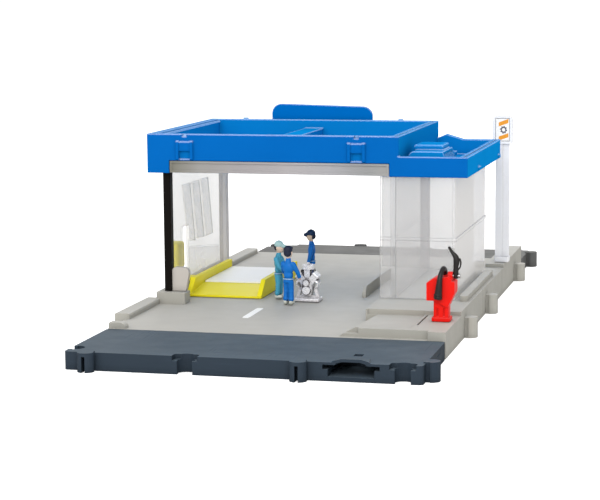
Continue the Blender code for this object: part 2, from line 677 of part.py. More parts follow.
cut(left_wall, block("arm_slot", slot_x, (ARM_Y - slot_half, ARM_Y + slot_half), slot_z))
settle(left_wall, CLEAR)

# Rounded bumper on the left foot, wider at the top than at the bottom
BUMPER_T = 0.0034
BUMPER_H = 0.0132
BUMPER_SPREAD = 0.0026
bumper_x = (LEFT_POST_X + POST + RUN, FOOT_X - RUN)
bumper_z = (PAVE_Z + GAP, PAVE_Z + GAP + BUMPER_H)
bumper_outline = []
for x, z in rounded(*bumper_x, *bumper_z, (0, 0, 0.0040, 0.0020), 5):
    share = (z - bumper_z[0]) / BUMPER_H
    bumper_outline.append((x + BUMPER_SPREAD * share * (x > bumper_x[0] + 0.0025), z))
bumper_y = Y_POSTS + RUN
settle(prism("lane_bumper", bumper_outline, "Y", bumper_y, bumper_y + BUMPER_T), LIGHT_GREY)

# Office: clear walls in one moulding, open at the top and the bottom, with a rib half way up
RIB_Z = 0.0475
RIB_H = 0.0016
RIB_OUT = 0.0007
office_y = (Y_POSTS, Y_POSTS + OFFICE_D)
office_z = (PAVE_Z + GAP, WALL_TOP)
rib_z = (RIB_Z, RIB_Z + RIB_H)
wing_y = (Y_POSTS, Y_POSTS + CLEAR_WALL)
pillar_x = (OFFICE_L - GAP, OFFICE_L + 0.0024)
office = block("office_walls", (OFFICE_L, OFFICE_R), office_y, office_z, bevel=0.0008, along="Z")
join(
    office,
    block("front_wing", (OFFICE_FRONT_L, OFFICE_L + SINK), wing_y, office_z),
    block("window_rib", (OFFICE_FRONT_L, OFFICE_R + RIB_OUT), (Y_POSTS - RIB_OUT, office_y[1]), rib_z),
    block("corner_pillar", pillar_x, (Y_POSTS - RIB_OUT * 1.2, Y_POSTS + SINK), office_z),
)
room = (OFFICE_L + CLEAR_WALL, OFFICE_R - CLEAR_WALL)
room_y = (office_y[0] + CLEAR_WALL, office_y[1] - CLEAR_WALL)
beside_x = (OFFICE_FRONT_L - PAST, OFFICE_L - RIB_OUT)
beside_y = (Y_POSTS + CLEAR_WALL, office_y[1] + PAST)
cut(office, block("office_room", room, room_y, (PAVE_Z - PAST, ROOF_Z + PAST)))
cut(office, block("beside_office", beside_x, beside_y, (RIB_Z - PAST, RIB_Z + RIB_H + PAST)))
settle(office, CLEAR)

# Clear rear pane between the office and the lane
PANE_W = 0.0232
pane_right = POST_SCREWS[2][0] - POST / 2 - GAP
pane_y = POST_SCREWS[2][1] - CLEAR_WALL / 2
pane_x = (pane_right - PANE_W, pane_right)
pane = block("rear_pane", pane_x, (pane_y, pane_y + CLEAR_WALL), (PAVE_Z + GAP, WALL_TOP))
settle(pane, CLEAR)

# Roof: one moulding with the high tray, its cross beam, the low annex, double rims and clip tabs
BEAM_X = (ROOF_L + 0.0730, ROOF_L + 0.0840)
BEAM_DROP = 0.0050
NOTCH_X = (ROOF_L + 0.0127, ROOF_SPLIT - 0.0050)
NOTCH_H = 0.0070
HEADER_T = 0.0026
CLIP_X = (ROOF_L + 0.0217, ROOF_SPLIT - 0.0230)
CLIP_W = 0.0098
CLIP_H = 0.0100
CLIP_OUT = 0.0008
CLIP_BAR = 0.0017       # width of the ribs at both sides of a clip tab
GROOVE_D = 0.0012
GABLE_X = (ROOF_SPLIT + 0.0052, ROOF_SPLIT + 0.0155)
GABLE_H = 0.0030
roof_top = ROOF_Z + ROOF_H
annex_top = ROOF_Z + ANNEX_H
roof_y = (ROOF_FRONT, ROOF_BACK)
roof = block("roof", (ROOF_L, ROOF_SPLIT), roof_y, (ROOF_Z, roof_top), bevel=0.0006, along="Z", segments=1)
annex_x = (ROOF_SPLIT - RIM, ROOF_R)
join(roof, block("annex", annex_x, roof_y, (ROOF_Z, annex_top), bevel=0.0006, along="Z", segments=1))
gable = [
    (ROOF_SPLIT - SINK, annex_top - SINK),
    (GABLE_X[1], annex_top - SINK),
    (GABLE_X[1], annex_top),
    (GABLE_X[0], annex_top + GABLE_H),
    (ROOF_SPLIT - SINK, annex_top + GAP),
]
join(roof, prism("gable", gable, "Y", ROOF_BACK - RIM, ROOF_BACK))
tray_y = (ROOF_FRONT + RIM, ROOF_BACK - RIM)
tray_z = (ROOF_Z + SHELL, roof_top + PAST)
cut(
    roof,
    block("left_tray", (ROOF_L + RIM, BEAM_X[0]), tray_y, tray_z),
    block("right_tray", (BEAM_X[1], ROOF_SPLIT - RIM), tray_y, tray_z),
    block("beam_top", (BEAM_X[0] - PAST, BEAM_X[1] + PAST), tray_y, (roof_top - BEAM_DROP, tray_z[1])),
    block("annex_tray", (ROOF_SPLIT, ROOF_R - RIM), tray_y, (tray_z[0], annex_top + PAST)),
)


def rim_groove(x, y, top):
    """The groove between the two ridges of a rim, as a cutter that runs round it."""
    inset = RIM * 0.36
    edge = RIM * 0.66
    outer_z = (top - GROOVE_D, top + PAST)
    ring = block("groove", (x[0] + inset, x[1] - inset), (y[0] + inset, y[1] - inset), outer_z)
    inner_z = (top - GROOVE_D - PAST, top + PAST * 2)
    inner = block("groove_inside", (x[0] + edge, x[1] - edge), (y[0] + edge, y[1] - edge), inner_z)
    return cut(ring, inner)


cut(roof, rim_groove((ROOF_L, ROOF_SPLIT), roof_y, roof_top))
side_groove = (ROOF_R - RIM * 0.66, ROOF_R - RIM * 0.36)
groove_y = (ROOF_FRONT + RIM * 0.36, ROOF_BACK - RIM * 0.36)
cut(roof, block("annex_groove", side_groove, groove_y, (annex_top - GROOVE_D, annex_top + PAST)))
notch_z = (ROOF_Z - PAST, ROOF_Z + NOTCH_H)
cut(roof, block("header_notch", NOTCH_X, (ROOF_FRONT - PAST, ROOF_FRONT + HEADER_T + GAP), notch_z))


def clip(x):
    """A clip tab on the front fascia, the nick in the rim above it, and its hook at the back."""
    low = ROOF_Z + NOTCH_H + 0.0006
    half = CLIP_W / 2
    bar_y = (ROOF_FRONT - CLIP_OUT, ROOF_FRONT + SINK)
    for start in (x - half, x + half - CLIP_BAR):
        join(roof, block("clip_bar", (start, start + CLIP_BAR), bar_y, (low, low + CLIP_H)))
    web_x = (x - half + SINK, x + half - SINK)
    web_z = (low + CLIP_H * 0.46, low + CLIP_H - GAP)
    join(roof, block("clip_web", web_x, (ROOF_FRONT - CLIP_OUT * 0.5, ROOF_FRONT + SINK), web_z))
    window_x = (x - half + CLIP_BAR, x + half - CLIP_BAR)
    cut(roof, block("clip_window", window_x, (ROOF_FRONT - PAST, ROOF_FRONT + CLIP_OUT), (low, web_z[0])))
    nick_z = (roof_top - 0.0014, roof_top + PAST)
    cut(roof, block("rim_nick", (x - 0.0012, x + 0.0012), (ROOF_FRONT - PAST, ROOF_FRONT + RIM * 0.3), nick_z))
    hook_y = (ROOF_BACK - SINK, ROOF_BACK + CLIP_OUT)
    join(roof, block("rear_hook", (x - 0.0014, x + 0.0014), hook_y, (roof_top - 0.0060, roof_top + 0.0008)))


for x in CLIP_X:
    clip(x)
for y in (Y_POSTS + 0.0370, Y_POSTS_END - 0.0040):
    hook_x = (ROOF_R - SINK, ROOF_R + CLIP_OUT)
    join(roof, block("side_clip", hook_x, (y - 0.0030, y + 0.0030), (ROOF_Z + 0.0006, ROOF_Z + 0.0026)))
settle(roof, ROOF_BLUE)

# Header panel in the notch of the front fascia
FRAME_W = 0.0012
FRAME_D = 0.0008
header_x = (NOTCH_X[0] + GAP, NOTCH_X[1] - GAP)
header_z = (ROOF_Z + GAP, ROOF_Z + NOTCH_H - GAP)
header = block("header_panel", header_x, (ROOF_FRONT + GAP, ROOF_FRONT + HEADER_T), header_z)
face_x = (header_x[0] + FRAME_W, header_x[1] - FRAME_W)
face_z = (header_z[0] + FRAME_W, header_z[1] - FRAME_W)
cut(header, block("header_face", face_x, (ROOF_FRONT - PAST, ROOF_FRONT + FRAME_D), face_z))
settle(header, HEADER_SILVER)

# Blank sign board that stands behind the rear rim
BOARD_X = (ROOF_L + 0.0395, ROOF_L + 0.1005)
BOARD_T = 0.0016
BOARD_H = 0.0095
BOARD_SEAT = 0.0040
board_z = (roof_top - BOARD_SEAT, roof_top + BOARD_H)
board_outline = rounded(*BOARD_X, *board_z, (0, 0, 0.0060, 0.0060), 6)
board = prism("roof_sign_board", board_outline, "Y", ROOF_BACK + GAP, ROOF_BACK + GAP + BOARD_T)
settle(board, ROOF_BLUE)

# Rooftop air unit in the annex tray: a rounded duct box with a louvred sloping side
UNIT_X = (ROOF_SPLIT + 0.0070, ROOF_SPLIT + 0.0255)
UNIT_Y = (ROOF_FRONT + 0.0085, ROOF_FRONT + 0.0395)
UNIT_SLOPE = 0.0040
UNIT_ROUND = 0.0030
LOUVRES = 6
unit_floor = ROOF_Z + SHELL + GAP
unit_top = annex_top + 0.0022
section = [(UNIT_X[0], unit_floor), (UNIT_X[1] + UNIT_SLOPE, unit_floor), (UNIT_X[1], unit_top)]
section += rounded(*UNIT_X, unit_floor, unit_top, (0, 0, 0, UNIT_ROUND))[3:]
unit = prism("rooftop_air_unit", section, "Y", *UNIT_Y)
louvre = [
    (UNIT_X[1] + UNIT_SLOPE + RUN, unit_floor + 0.0020),
    (UNIT_X[1] + RUN, unit_top - 0.0012),
    (UNIT_X[1] - 0.0006, unit_top - 0.0016),
    (UNIT_X[1] + UNIT_SLOPE - 0.0014, unit_floor + 0.0020),
]
louvre_pitch = (UNIT_Y[1] - UNIT_Y[0] - 0.0040) / LOUVRES
for number in range(LOUVRES):
    start = UNIT_Y[0] + 0.0025 + number * louvre_pitch
    cut(unit, prism("louvre", louvre, "Y", start, start + louvre_pitch * 0.5))
settle(unit, ROOF_BLUE)
duct_profile = [(0.0028, 0), (0.0028, 0.0040), (0.0034, 0.0040), (0.0034, 0.0062)]
duct_profile += [(0.0022, 0.0062), (0.0022, 0.0055), (0, 0.0055)]
duct_at = (ROOF_SPLIT + 0.0170, ROOF_FRONT + 0.0675, unit_floor)
settle(turned("rooftop_duct", duct_profile, duct_at), ROOF_BLUE)

# Car lift: yellow tray with a ramp, its white plate, the arm through the wall and the handle outside
FLOOR_T = 0.0034
RAMP_L = 0.0260
NOSE_T = 0.0012
NOSE_SLOPE = 0.0098
PLATE_T = 0.0015
lift_floor = ROAD_Z + GAP
lift_top = lift_floor + LIFT_H
tray_x = (LIFT_L, LIFT_R)
inner_x = (LIFT_L + LIFT_WALL, LIFT_R - LIFT_WALL)
tray = block("lift_tray", tray_x, (LIFT_FRONT, LIFT_BACK), (lift_floor, lift_top), bevel=0.0010, along="Z")
channel = [
    (LIFT_FRONT - PAST, lift_floor + NOSE_T),
    (LIFT_FRONT, lift_floor + NOSE_T),
    (LIFT_FRONT + RAMP_L, lift_floor + FLOOR_T + 0.0010),
    (LIFT_FRONT + RAMP_L, lift_floor + FLOOR_T),
    (LIFT_BACK + PAST, lift_floor + FLOOR_T),
    (LIFT_BACK + PAST, lift_top + PAST),
    (LIFT_FRONT - PAST, lift_top + PAST),
]
nose = [
    (LIFT_FRONT - PAST, lift_floor + NOSE_T),
    (LIFT_FRONT, lift_floor + NOSE_T),
    (LIFT_FRONT + NOSE_SLOPE, lift_top + GAP),
    (LIFT_FRONT + NOSE_SLOPE, lift_top + PAST),
    (LIFT_FRONT - PAST, lift_top + PAST),
]
cut(tray, prism("channel", channel, "X", *inner_x))
cut(tray, prism("nose", nose, "X", LIFT_L - PAST, LIFT_R + PAST))
HANDLE_R = WALL_X - RUN         # right face of the handle
ARM_END = HANDLE_R - 0.0026     # the arm's end, inside the handle's stem
arm_y = (ARM_Y - ARM_W / 2, ARM_Y + ARM_W / 2)
join(tray, block("arm", (ARM_END, LIFT_L + RUN), arm_y, (ARM_Z, ARM_Z + ARM_H)))
settle(tray, YELLOW)
lift_axis = joint_axis("lift_axis", (LIFT_L, ARM_Y, ARM_Z))
hang_on(tray, lift_axis)

plate_x = (inner_x[0] + GAP, inner_x[1] - GAP)
plate_y = (LIFT_FRONT + RAMP_L + GAP, LIFT_BACK - RUN)
plate_z = (lift_floor + FLOOR_T + GAP, lift_floor + FLOOR_T + GAP + PLATE_T)
plate = block("lift_plate", plate_x, plate_y, plate_z, bevel=0.0004, along="Z", segments=1)
hang_on(settle(plate, PLATE_WHITE), lift_axis)

HANDLE_T = 0.0085
HANDLE_W = 0.0120
HANDLE_H = 0.0150
HANDLE_LIFT = 0.0075    # from the pavement to the grip
STEM_T = 0.0044
GRIPS = 4
handle_y = (ARM_Y - HANDLE_W / 2, ARM_Y + HANDLE_W / 2)
handle_z = (PAVE_Z + HANDLE_LIFT, PAVE_Z + HANDLE_LIFT + HANDLE_H)
stem_x = (HANDLE_R - STEM_T, HANDLE_R - RUN)
stem_y = (ARM_Y - ARM_W / 2 - 0.0011, ARM_Y + ARM_W / 2 + 0.0011)
handle = block("lift_handle", (HANDLE_R - HANDLE_T, HANDLE_R), handle_y, handle_z, bevel=0.0014)
join(handle, block("stem", stem_x, stem_y, (PAVE_Z + GAP, handle_z[0] + PAST)))
for step in range(GRIPS):
    z = handle_z[0] + 0.0030 + step * 0.0026
    grip_x = (HANDLE_R - HANDLE_T - PAST, HANDLE_R - HANDLE_T + 0.0008)
    cut(handle, block("grip", grip_x, (handle_y[0] + 0.0018, handle_y[1] - 0.0018), (z, z + 0.0012)))
socket_y = (arm_y[0] - GAP, arm_y[1] + GAP)
socket_z = (PAVE_Z - PAST, ARM_Z + ARM_H + GAP)
cut(handle, block("arm_socket", (ARM_END - GAP, HANDLE_R + PAST), socket_y, socket_z))
hang_on(settle(handle, YELLOW), lift_axis)

# Fuel pump: flanged foot, fluted column and a bevelled head, with an ear that carries the nozzle
PUMP_X = X_R - PUMP_FROM_RIGHT
PUMP_Y = Y_DECK + PUMP_FROM_FRONT
EAR_T = 0.0024
FLANGE_T = 0.0018
FLUTE_W = 0.0011
FLUTE_D = 0.0006
pump_floor = FORE_Z + GAP
head_floor = pump_floor + PUMP_HEAD_Z
head_top = head_floor + PUMP_HEAD_H
head_left = PUMP_X - PUMP_HEAD_W / 2
head_right = PUMP_X + PUMP_HEAD_W / 2
head_top_r = head_right - 0.0036
head_y = (PUMP_Y - PUMP_HEAD_D / 2, PUMP_Y + PUMP_HEAD_D / 2)
column_x = (PUMP_X - PUMP_COLUMN_W / 2, PUMP_X + PUMP_COLUMN_W / 2)
column_y = (PUMP_Y - PUMP_COLUMN_D / 2, PUMP_Y + PUMP_COLUMN_D / 2)
pump = block("pump_body", column_x, column_y, (pump_floor, head_floor + PAST), bevel=0.0012, along="Z")
flange_half = PUMP_FLANGE_W / 2
flange_x = (PUMP_X - flange_half, PUMP_X + flange_half)
flange_y = (column_y[0] - 0.0009, column_y[1] + 0.0009)
flange_outline = rounded(*flange_x, *flange_y, (0.0015,) * 4)
join(pump, prism("flange", flange_outline, "Z", pump_floor, pump_floor + FLANGE_T))
head_outline = [
    (head_left, head_floor),
    (column_x[0] + SINK, head_floor),
    (column_x[1] - SINK, head_floor - 0.0032),
    (column_x[1], head_floor - 0.0028),
    (head_right, head_floor + 0.0042),
    (head_right, head_top - 0.0004),
    (head_top_r, head_top + 0.0024),
    (PUMP_X - 0.0003, head_top + 0.0018),
    (PUMP_X - 0.0034, head_top + 0.0016),
    (head_left, head_top - 0.0010),
]
join(pump, prism("head", head_outline, "Y", *head_y))
PIVOT = Vector((head_right - 0.0016, PUMP_Y, head_top + 0.0024))
ear_x = (PIVOT.x - EAR_T, PIVOT.x)
ear_y = (PUMP_Y - EYE_R, PUMP_Y + EYE_R)
ear_outline = rounded(*ear_y, head_top - SINK, PIVOT.z + EYE_R, (0, 0, 0.0018, 0.0018), 3)
notch_y = (head_y[0] - PAST, PUMP_Y + EYE_R + GAP)
notch_z = (PIVOT.z - EYE_R - GAP, PIVOT.z + PAST * 2)
cut(pump, block("nozzle_notch", (PIVOT.x, head_right + PAST), notch_y, notch_z))
join(pump, prism("ear", ear_outline, "X", *ear_x))
for side in (-1, 1):
    flute_x = PUMP_X + side * 0.0016
    flute_y = (column_y[0] - PAST, column_y[0] + FLUTE_D)
    flute_z = (pump_floor + FLANGE_T + 0.0008, head_floor - 0.0040)
    cut(pump, block("flute", (flute_x - FLUTE_W / 2, flute_x + FLUTE_W / 2), flute_y, flute_z))
cut(pump, disc("pin_hole", PIN_R + GAP, GAP - EAR_T, PAST, PIVOT, "X", 12))
settle(pump, RED)

# Moulded hose: a tapered band up the front of the head, over its top and down the back
HOSE_LOOP = 0.0016
ARCH_STEPS = 8
hose_front = head_y[0] - HOSE_R - GAP
hose_back = head_y[1] + HOSE_TOP_R + GAP
hose_top = head_top + 0.0024 + HOSE_TOP_R + GAP
hose_curve = bpy.data.curves.new("pump_hose", "CURVE")
hose_curve.dimensions = "3D"
hose_curve.bevel_depth = HOSE_R
hose_curve.bevel_resolution = 2
hose_curve.use_fill_caps = True
route = [
    (Vector((PUMP_X - 0.0018, hose_front, head_floor + 0.0012)), HOSE_R),
    (Vector((PUMP_X - 0.0008, hose_front, head_floor + 0.0060)), HOSE_R * 0.9),
    (Vector((PUMP_X + 0.0002, hose_front, head_top + 0.0006)), HOSE_TOP_R),
]
middle_y = (hose_front + hose_back) / 2
for step in range(ARCH_STEPS + 1):
    angle = math.pi * (1 - step / ARCH_STEPS)
    across = middle_y + (hose_back - hose_front) / 2 * math.cos(angle)
    route.append((Vector((PUMP_X + 0.0008, across, hose_top + HOSE_LOOP * math.sin(angle))), HOSE_TOP_R))
route.append((Vector((PUMP_X + 0.0008, hose_back, head_top - 0.0030)), HOSE_TOP_R))
route.append((Vector((PUMP_X + 0.0008, hose_back, head_floor + 0.0035)), HOSE_TOP_R))
line = hose_curve.splines.new("POLY")
line.points.add(len(route) - 1)
for point, (place, radius) in zip(line.points, route):
    point.co = (*place, 1.0)
    point.radius = radius / HOSE_R
hose = bpy.data.objects.new("pump_hose", hose_curve)
bpy.context.scene.collection.objects.link(hose)
hose_curve.materials.append(BLACK)

# Nozzle: swings forward on its pin beside the ear
PIN_SEAT = EAR_T - GAP * 2      # how far the pin goes into the ear
nozzle_axis = joint_axis("nozzle_axis", PIVOT)
nozzle = disc("fuel_nozzle", EYE_R, GAP, GAP + NOZZLE_T, PIVOT, "X", 16)
grip = [
    (GAP * 1.5, 0),
    (GAP + NOZZLE_T * 0.95, 0),
    (GAP + NOZZLE_T * 0.95, 0.0042),
    (0.0041, 0.0075),
    (0.0038, 0.0096),
    (-0.0006, 0.0158),
    (-0.0024, 0.0148),
    (0.0010, 0.0090),
    (GAP * 1.5, 0.0052),
]
grip_outline = [(PIVOT.x + u, PIVOT.z + v) for u, v in grip]
join(nozzle, prism("nozzle_grip", grip_outline, "Y", PUMP_Y - 0.0013, PUMP_Y + 0.0013))
guard = [(0.0018, 0.0036), (0.0024, 0.0036), (0.0034, 0.0084), (0.0024, 0.0086)]
guard_outline = [(PIVOT.x + u, PIVOT.z + v) for u, v in guard]
join(nozzle, prism("guard", guard_outline, "Y", PUMP_Y - 0.0019, PUMP_Y + 0.0019))
cut(nozzle, disc("eye", PIN_R + GAP, -PAST, NOZZLE_T + PAST, PIVOT, "X", 12))
hang_on(settle(nozzle, BLACK), nozzle_axis)
pin_head = GAP * 2 + NOZZLE_T
pin_profile = [(0, -PIN_SEAT), (PIN_R, -PIN_SEAT), (PIN_R, pin_head), (PIN_R * 1.7, pin_head)]
pin_profile += [(PIN_R * 1.7, pin_head + 0.0007), (0, pin_head + 0.0007)]
settle(turned("nozzle_pin", pin_profile, PIVOT, "X", 12), STEEL)

# Road sign: a foot plate, a stepped flat post, a rounded head and a thin printed face in its frame
SIGN_X = X_R - SIGN_FROM_RIGHT
SIGN_Y = Y_POSTS_END + SIGN_SETBACK
SIGN_FOOT_H = 0.0030
SIGN_FOOT_D = 0.0086
SIGN_STEP = 0.0008      # by which the post's left half and the head stand forward
SIGN_GUSSET_H = 0.0110
SIGN_FRAME = 0.0016
SIGN_FACE_T = 0.0006
SIGN_SOCKET = 0.0025    # the head's overlap on the post
sign_floor = SIGN_Z + GAP
sign_top = SIGN_Z + SIGN_POST_H
sign_x = (SIGN_X - SIGN_POST_W / 2, SIGN_X + SIGN_POST_W / 2)
sign_back = SIGN_Y + SIGN_T
foot_y = (SIGN_Y - SIGN_FOOT_D * 0.35, SIGN_Y + SIGN_FOOT_D * 0.65)
sign_post = block("sign_post", sign_x, foot_y, (sign_floor, sign_floor + SIGN_FOOT_H), bevel=0.0006, along="Z")
stepped = [
    (sign_x[0], SIGN_Y - SIGN_STEP),
    (SIGN_X, SIGN_Y - SIGN_STEP),
    (SIGN_X, SIGN_Y),
    (sign_x[1], SIGN_Y),
    (sign_x[1], sign_back),
    (sign_x[0], sign_back),
]
join(sign_post, prism("post", stepped, "Z", sign_floor + SIGN_FOOT_H / 2, sign_top))
gusset = [
    (sign_back - SIGN_T / 2, sign_floor + SIGN_FOOT_H / 2),
    (foot_y[1] - RUN, sign_floor + SIGN_FOOT_H / 2),
    (sign_back - SIGN_T / 2, sign_floor + SIGN_FOOT_H + SIGN_GUSSET_H),
]
join(sign_post, prism("gusset", gusset, "X", SIGN_X - SINK, SIGN_X + SINK))
sign_head_x = (SIGN_X - SIGN_HEAD_W / 2, SIGN_X + SIGN_HEAD_W / 2)
sign_head_z = (sign_top - SIGN_SOCKET, sign_top - SIGN_SOCKET + SIGN_HEAD_H)
sign_outline = rounded(*sign_head_x, *sign_head_z, (0.0010, 0.0010, 0.0030, 0.0030))
join(sign_post, prism("sign_head", sign_outline, "Y", SIGN_Y - SIGN_STEP - GAP, sign_back + GAP))
frame_x = (sign_head_x[0] + SIGN_FRAME, sign_head_x[1] - SIGN_FRAME)
frame_z = (sign_head_z[0] + SIGN_FRAME, sign_head_z[1] - SIGN_FRAME)
recess_y = SIGN_Y - SIGN_STEP + SIGN_FACE_T
cut(sign_post, block("face_recess", frame_x, (SIGN_Y - SIGN_STEP - PAST, recess_y), frame_z))
settle(sign_post, SIGN_WHITE)
print_x = (frame_x[0] + GAP, frame_x[1] - GAP)
print_z = (frame_z[0] + GAP, frame_z[1] - GAP)
print_y = (recess_y - GAP - SIGN_FACE_T, recess_y - GAP)
settle(block("sign_face", print_x, print_y, print_z), SIGN_ORANGE)


# Mechanics: stubby moulded figures that stand on their shoes
def limb(start, end, radius, end_radius, sides=8):
    """A tapered limb between two points, with domed ends."""
    start, end = Vector(start), Vector(end)
    length = (end - start).length
    profile = [
        (0, -radius * 0.8),
        (radius * 0.8, -radius * 0.4),
        (radius, 0),
        (end_radius, length),
        (end_radius * 0.8, length + end_radius * 0.4),
        (0, length + end_radius * 0.8),
    ]
    piece = turned("limb", profile, (0, 0, 0), sides=sides)
    turn = (end - start).to_track_quat("Z", "Y").to_matrix().to_4x4()
    piece.data.transform(Matrix.Translation(start) @ turn)
    return piece


def mechanic(name, x, y, heading, hands, peaked, material):
    """A standing figure, heading degrees round from facing the front. hands holds both hands' places."""
    k = FIGURE_H / 34.0
    chest_profile = [(0, 12.5), (2.9, 12.9), (2.8, 15.5), (3.5, 21.5), (3.3, 24.0), (1.5, 25.6), (0, 25.8)]
    head_angles = (0.5, 1.0, 1.57, 2.1, 2.6)
    head_profile = [(2.5 * math.sin(a), 29.4 - 2.9 * math.cos(a)) for a in head_angles]
    hair_profile = [(0, 30.0), (2.65, 30.0), (2.7, 31.2), (2.1, 32.8), (1.0, 33.7), (0, 34.0)]
    figure = turned(name, chest_profile, (0, 0, 0), sides=12)
    figure.data.transform(Matrix.Diagonal((1.0, 0.72, 1.0, 1.0)))
    parts = []
    for side in (-1, 1):
        foot = sorted((side * 0.3, side * 3.0))
        parts.append(limb((side * 1.65, 0, 1.9), (side * 1.35, 0, 14.0), 1.2, 1.75))
        parts.append(block("shoe", foot, (-3.2, 1.6), (0, 2.3), bevel=0.5))
    for side, hand in zip((-1, 1), hands):
        elbow = ((side * 4.6 + hand[0]) / 2, hand[1] * 0.45, (23.2 + hand[2]) / 2 - 0.4)
        parts.append(limb((side * 3.3, 0, 23.2), elbow, 1.25, 1.1))
        parts.append(limb(elbow, hand, 1.1, 0.85))
    parts.append(limb((0, 0, 24.5), (0, -0.2, 27.5), 1.2, 1.1))
    parts.append(turned("head", [(0, 26.5)] + head_profile + [(0, 32.3)], (0, -0.3, 0), sides=12))
    parts.append(turned("hair", hair_profile, (0, 0, 0), sides=12))
    if peaked:
        peak = [(-2.0, -1.0), (-1.4, -4.4), (1.4, -4.4), (2.0, -1.0)]
        parts.append(prism("peak", peak, "Z", 30.1, 30.8))
    join(figure, *parts)
    place = Matrix.Translation((x, y, ROAD_Z + GAP)) @ Matrix.Rotation(math.radians(heading), 4, "Z")
    figure.data.transform(place @ Matrix.Scale(k, 4))
    carrier = joint_axis(name + "_axis", (x, y, ROAD_Z))
    hang_on(settle(figure, material, 50), carrier)


reaching = ((-5.8, -2.6, 14.8), (3.6, -4.4, 16.0))
holding = ((-3.0, -4.6, 16.4), (3.0, -4.6, 16.4))
leaning = ((-4.8, -1.6, 13.8), (4.8, -1.6, 13.8))
mechanic("mechanic_front", LIFT_R + 0.0200, Y_POSTS + 0.0060, 165, reaching, False, FIGURE_BLUE)
mechanic("mechanic_left", LIFT_R + 0.0095, Y_POSTS + 0.0250, 80, holding, True, FIGURE_TEAL)
mechanic("mechanic_rear", LIFT_R + 0.0160, Y_POSTS + 0.0760, 280, leaning, True, FIGURE_BLUE)

# Engine stand: a low frame with two leaning uprights and a cradle between them
ENGINE_X = LIFT_R + 0.0274
ENGINE_Y = Y_POSTS + 0.0215
STAND_W = 0.0140
STAND_D = 0.0104
STAND_BAR = 0.0018
CRADLE_Z = 0.0032       # above the road
CRADLE_H = 0.0020
UPRIGHT_H = 0.0075
stand_z = ROAD_Z + GAP
stand_half = STAND_W / 2
stand_axis = joint_axis("engine_stand_axis", (ENGINE_X, ENGINE_Y, ROAD_Z))
bar_x = (ENGINE_X - stand_half, ENGINE_X + stand_half)
bar_z = (stand_z, stand_z + STAND_BAR)
front_y = (ENGINE_Y - STAND_D / 2, ENGINE_Y - STAND_D / 2 + STAND_BAR)
back_y = (ENGINE_Y + STAND_D / 2 - STAND_BAR, ENGINE_Y + STAND_D / 2)
rail_y = (front_y[0] + STAND_BAR / 2, back_y[1] - STAND_BAR / 2)
stand = block("engine_stand", bar_x, front_y, bar_z, bevel=0.0004)
join(stand, block("rear_bar", bar_x, back_y, bar_z, bevel=0.0004))
for side in (-1, 1):
    rail_x = sorted((ENGINE_X + side * stand_half, ENGINE_X + side * (stand_half - STAND_BAR)))
    join(stand, block("side_rail", rail_x, rail_y, (stand_z, stand_z + STAND_BAR * 0.9)))
    lean = [
        (ENGINE_X + side * stand_half, stand_z + GAP),
        (ENGINE_X + side * (stand_half - STAND_BAR), stand_z + GAP),
        (ENGINE_X + side * (stand_half - STAND_BAR * 2), stand_z + UPRIGHT_H),
        (ENGINE_X + side * (stand_half - STAND_BAR), stand_z + UPRIGHT_H),
    ]
    join(stand, prism("upright", lean, "Y", ENGINE_Y - 0.0014, ENGINE_Y + 0.0014))
cradle_x = (bar_x[0] + STAND_BAR * 0.6, bar_x[1] - STAND_BAR * 0.6)
cradle_z = (stand_z + CRADLE_Z - CRADLE_H, stand_z + CRADLE_Z)
join(stand, block("cradle", cradle_x, (ENGINE_Y - 0.0012, ENGINE_Y + 0.0012), cradle_z))
hang_on(settle(stand, STAND_GREY), stand_axis)

# Engine: a vee block on its sump, two banks of cylinders with side pipes, an intake and an air filter
ENGINE_D = 0.0088
BANK_TILT = 40
BANK_H = 0.0052
BANK_W = 0.0036
CYLINDERS = 4
engine_z = stand_z + CRADLE_Z + GAP
engine_y = (ENGINE_Y - ENGINE_D / 2, ENGINE_Y + ENGINE_D / 2)
block_section = [(-0.0022, 0), (0.0022, 0), (0.0029, 0.0030), (0.0029, 0.0070)]
block_section += [(0.0014, 0.0092), (-0.0014, 0.0092), (-0.0029, 0.0070), (-0.0029, 0.0030)]
engine = prism("engine", [(ENGINE_X + u, engine_z + v) for u, v in block_section], "Y", *engine_y)
for side in (-1, 1):
    lean = Matrix.Rotation(math.radians(BANK_TILT * side), 4, "Y")
    place = Matrix.Translation((ENGINE_X + side * 0.0012, ENGINE_Y, engine_z + 0.0068)) @ lean
    bank_y = (-ENGINE_D / 2 + 0.0005, ENGINE_D / 2 - 0.0005)
    bank = block("bank", (-BANK_W / 2, BANK_W / 2), bank_y, (0, BANK_H))
    cover_x = (-BANK_W / 2 - 0.0004, BANK_W / 2 + 0.0004)
    cover = block("cover", cover_x, bank_y, (BANK_H, BANK_H + 0.0016), bevel=0.0006)
    cover.data.transform(Matrix.Translation((0, 0, -GAP)))
    pieces = [bank, cover]
    for number in range(CYLINDERS):
        pipe_y = bank_y[0] + (number + 0.5) * (bank_y[1] - bank_y[0]) / CYLINDERS
        ends = sorted((side * (BANK_W / 2 - GAP), side * (BANK_W / 2 + 0.0016)))
        pieces.append(disc("pipe", 0.0007, *ends, (0, pipe_y, BANK_H * 0.62), "X", 8))
    for piece in pieces:
        piece.data.transform(place)
    join(engine, *pieces)
intake_z = engine_z + 0.0082
filter_z = engine_z + 0.0146
front = engine_y[0]
intake_x = (ENGINE_X - 0.0016, ENGINE_X + 0.0016)
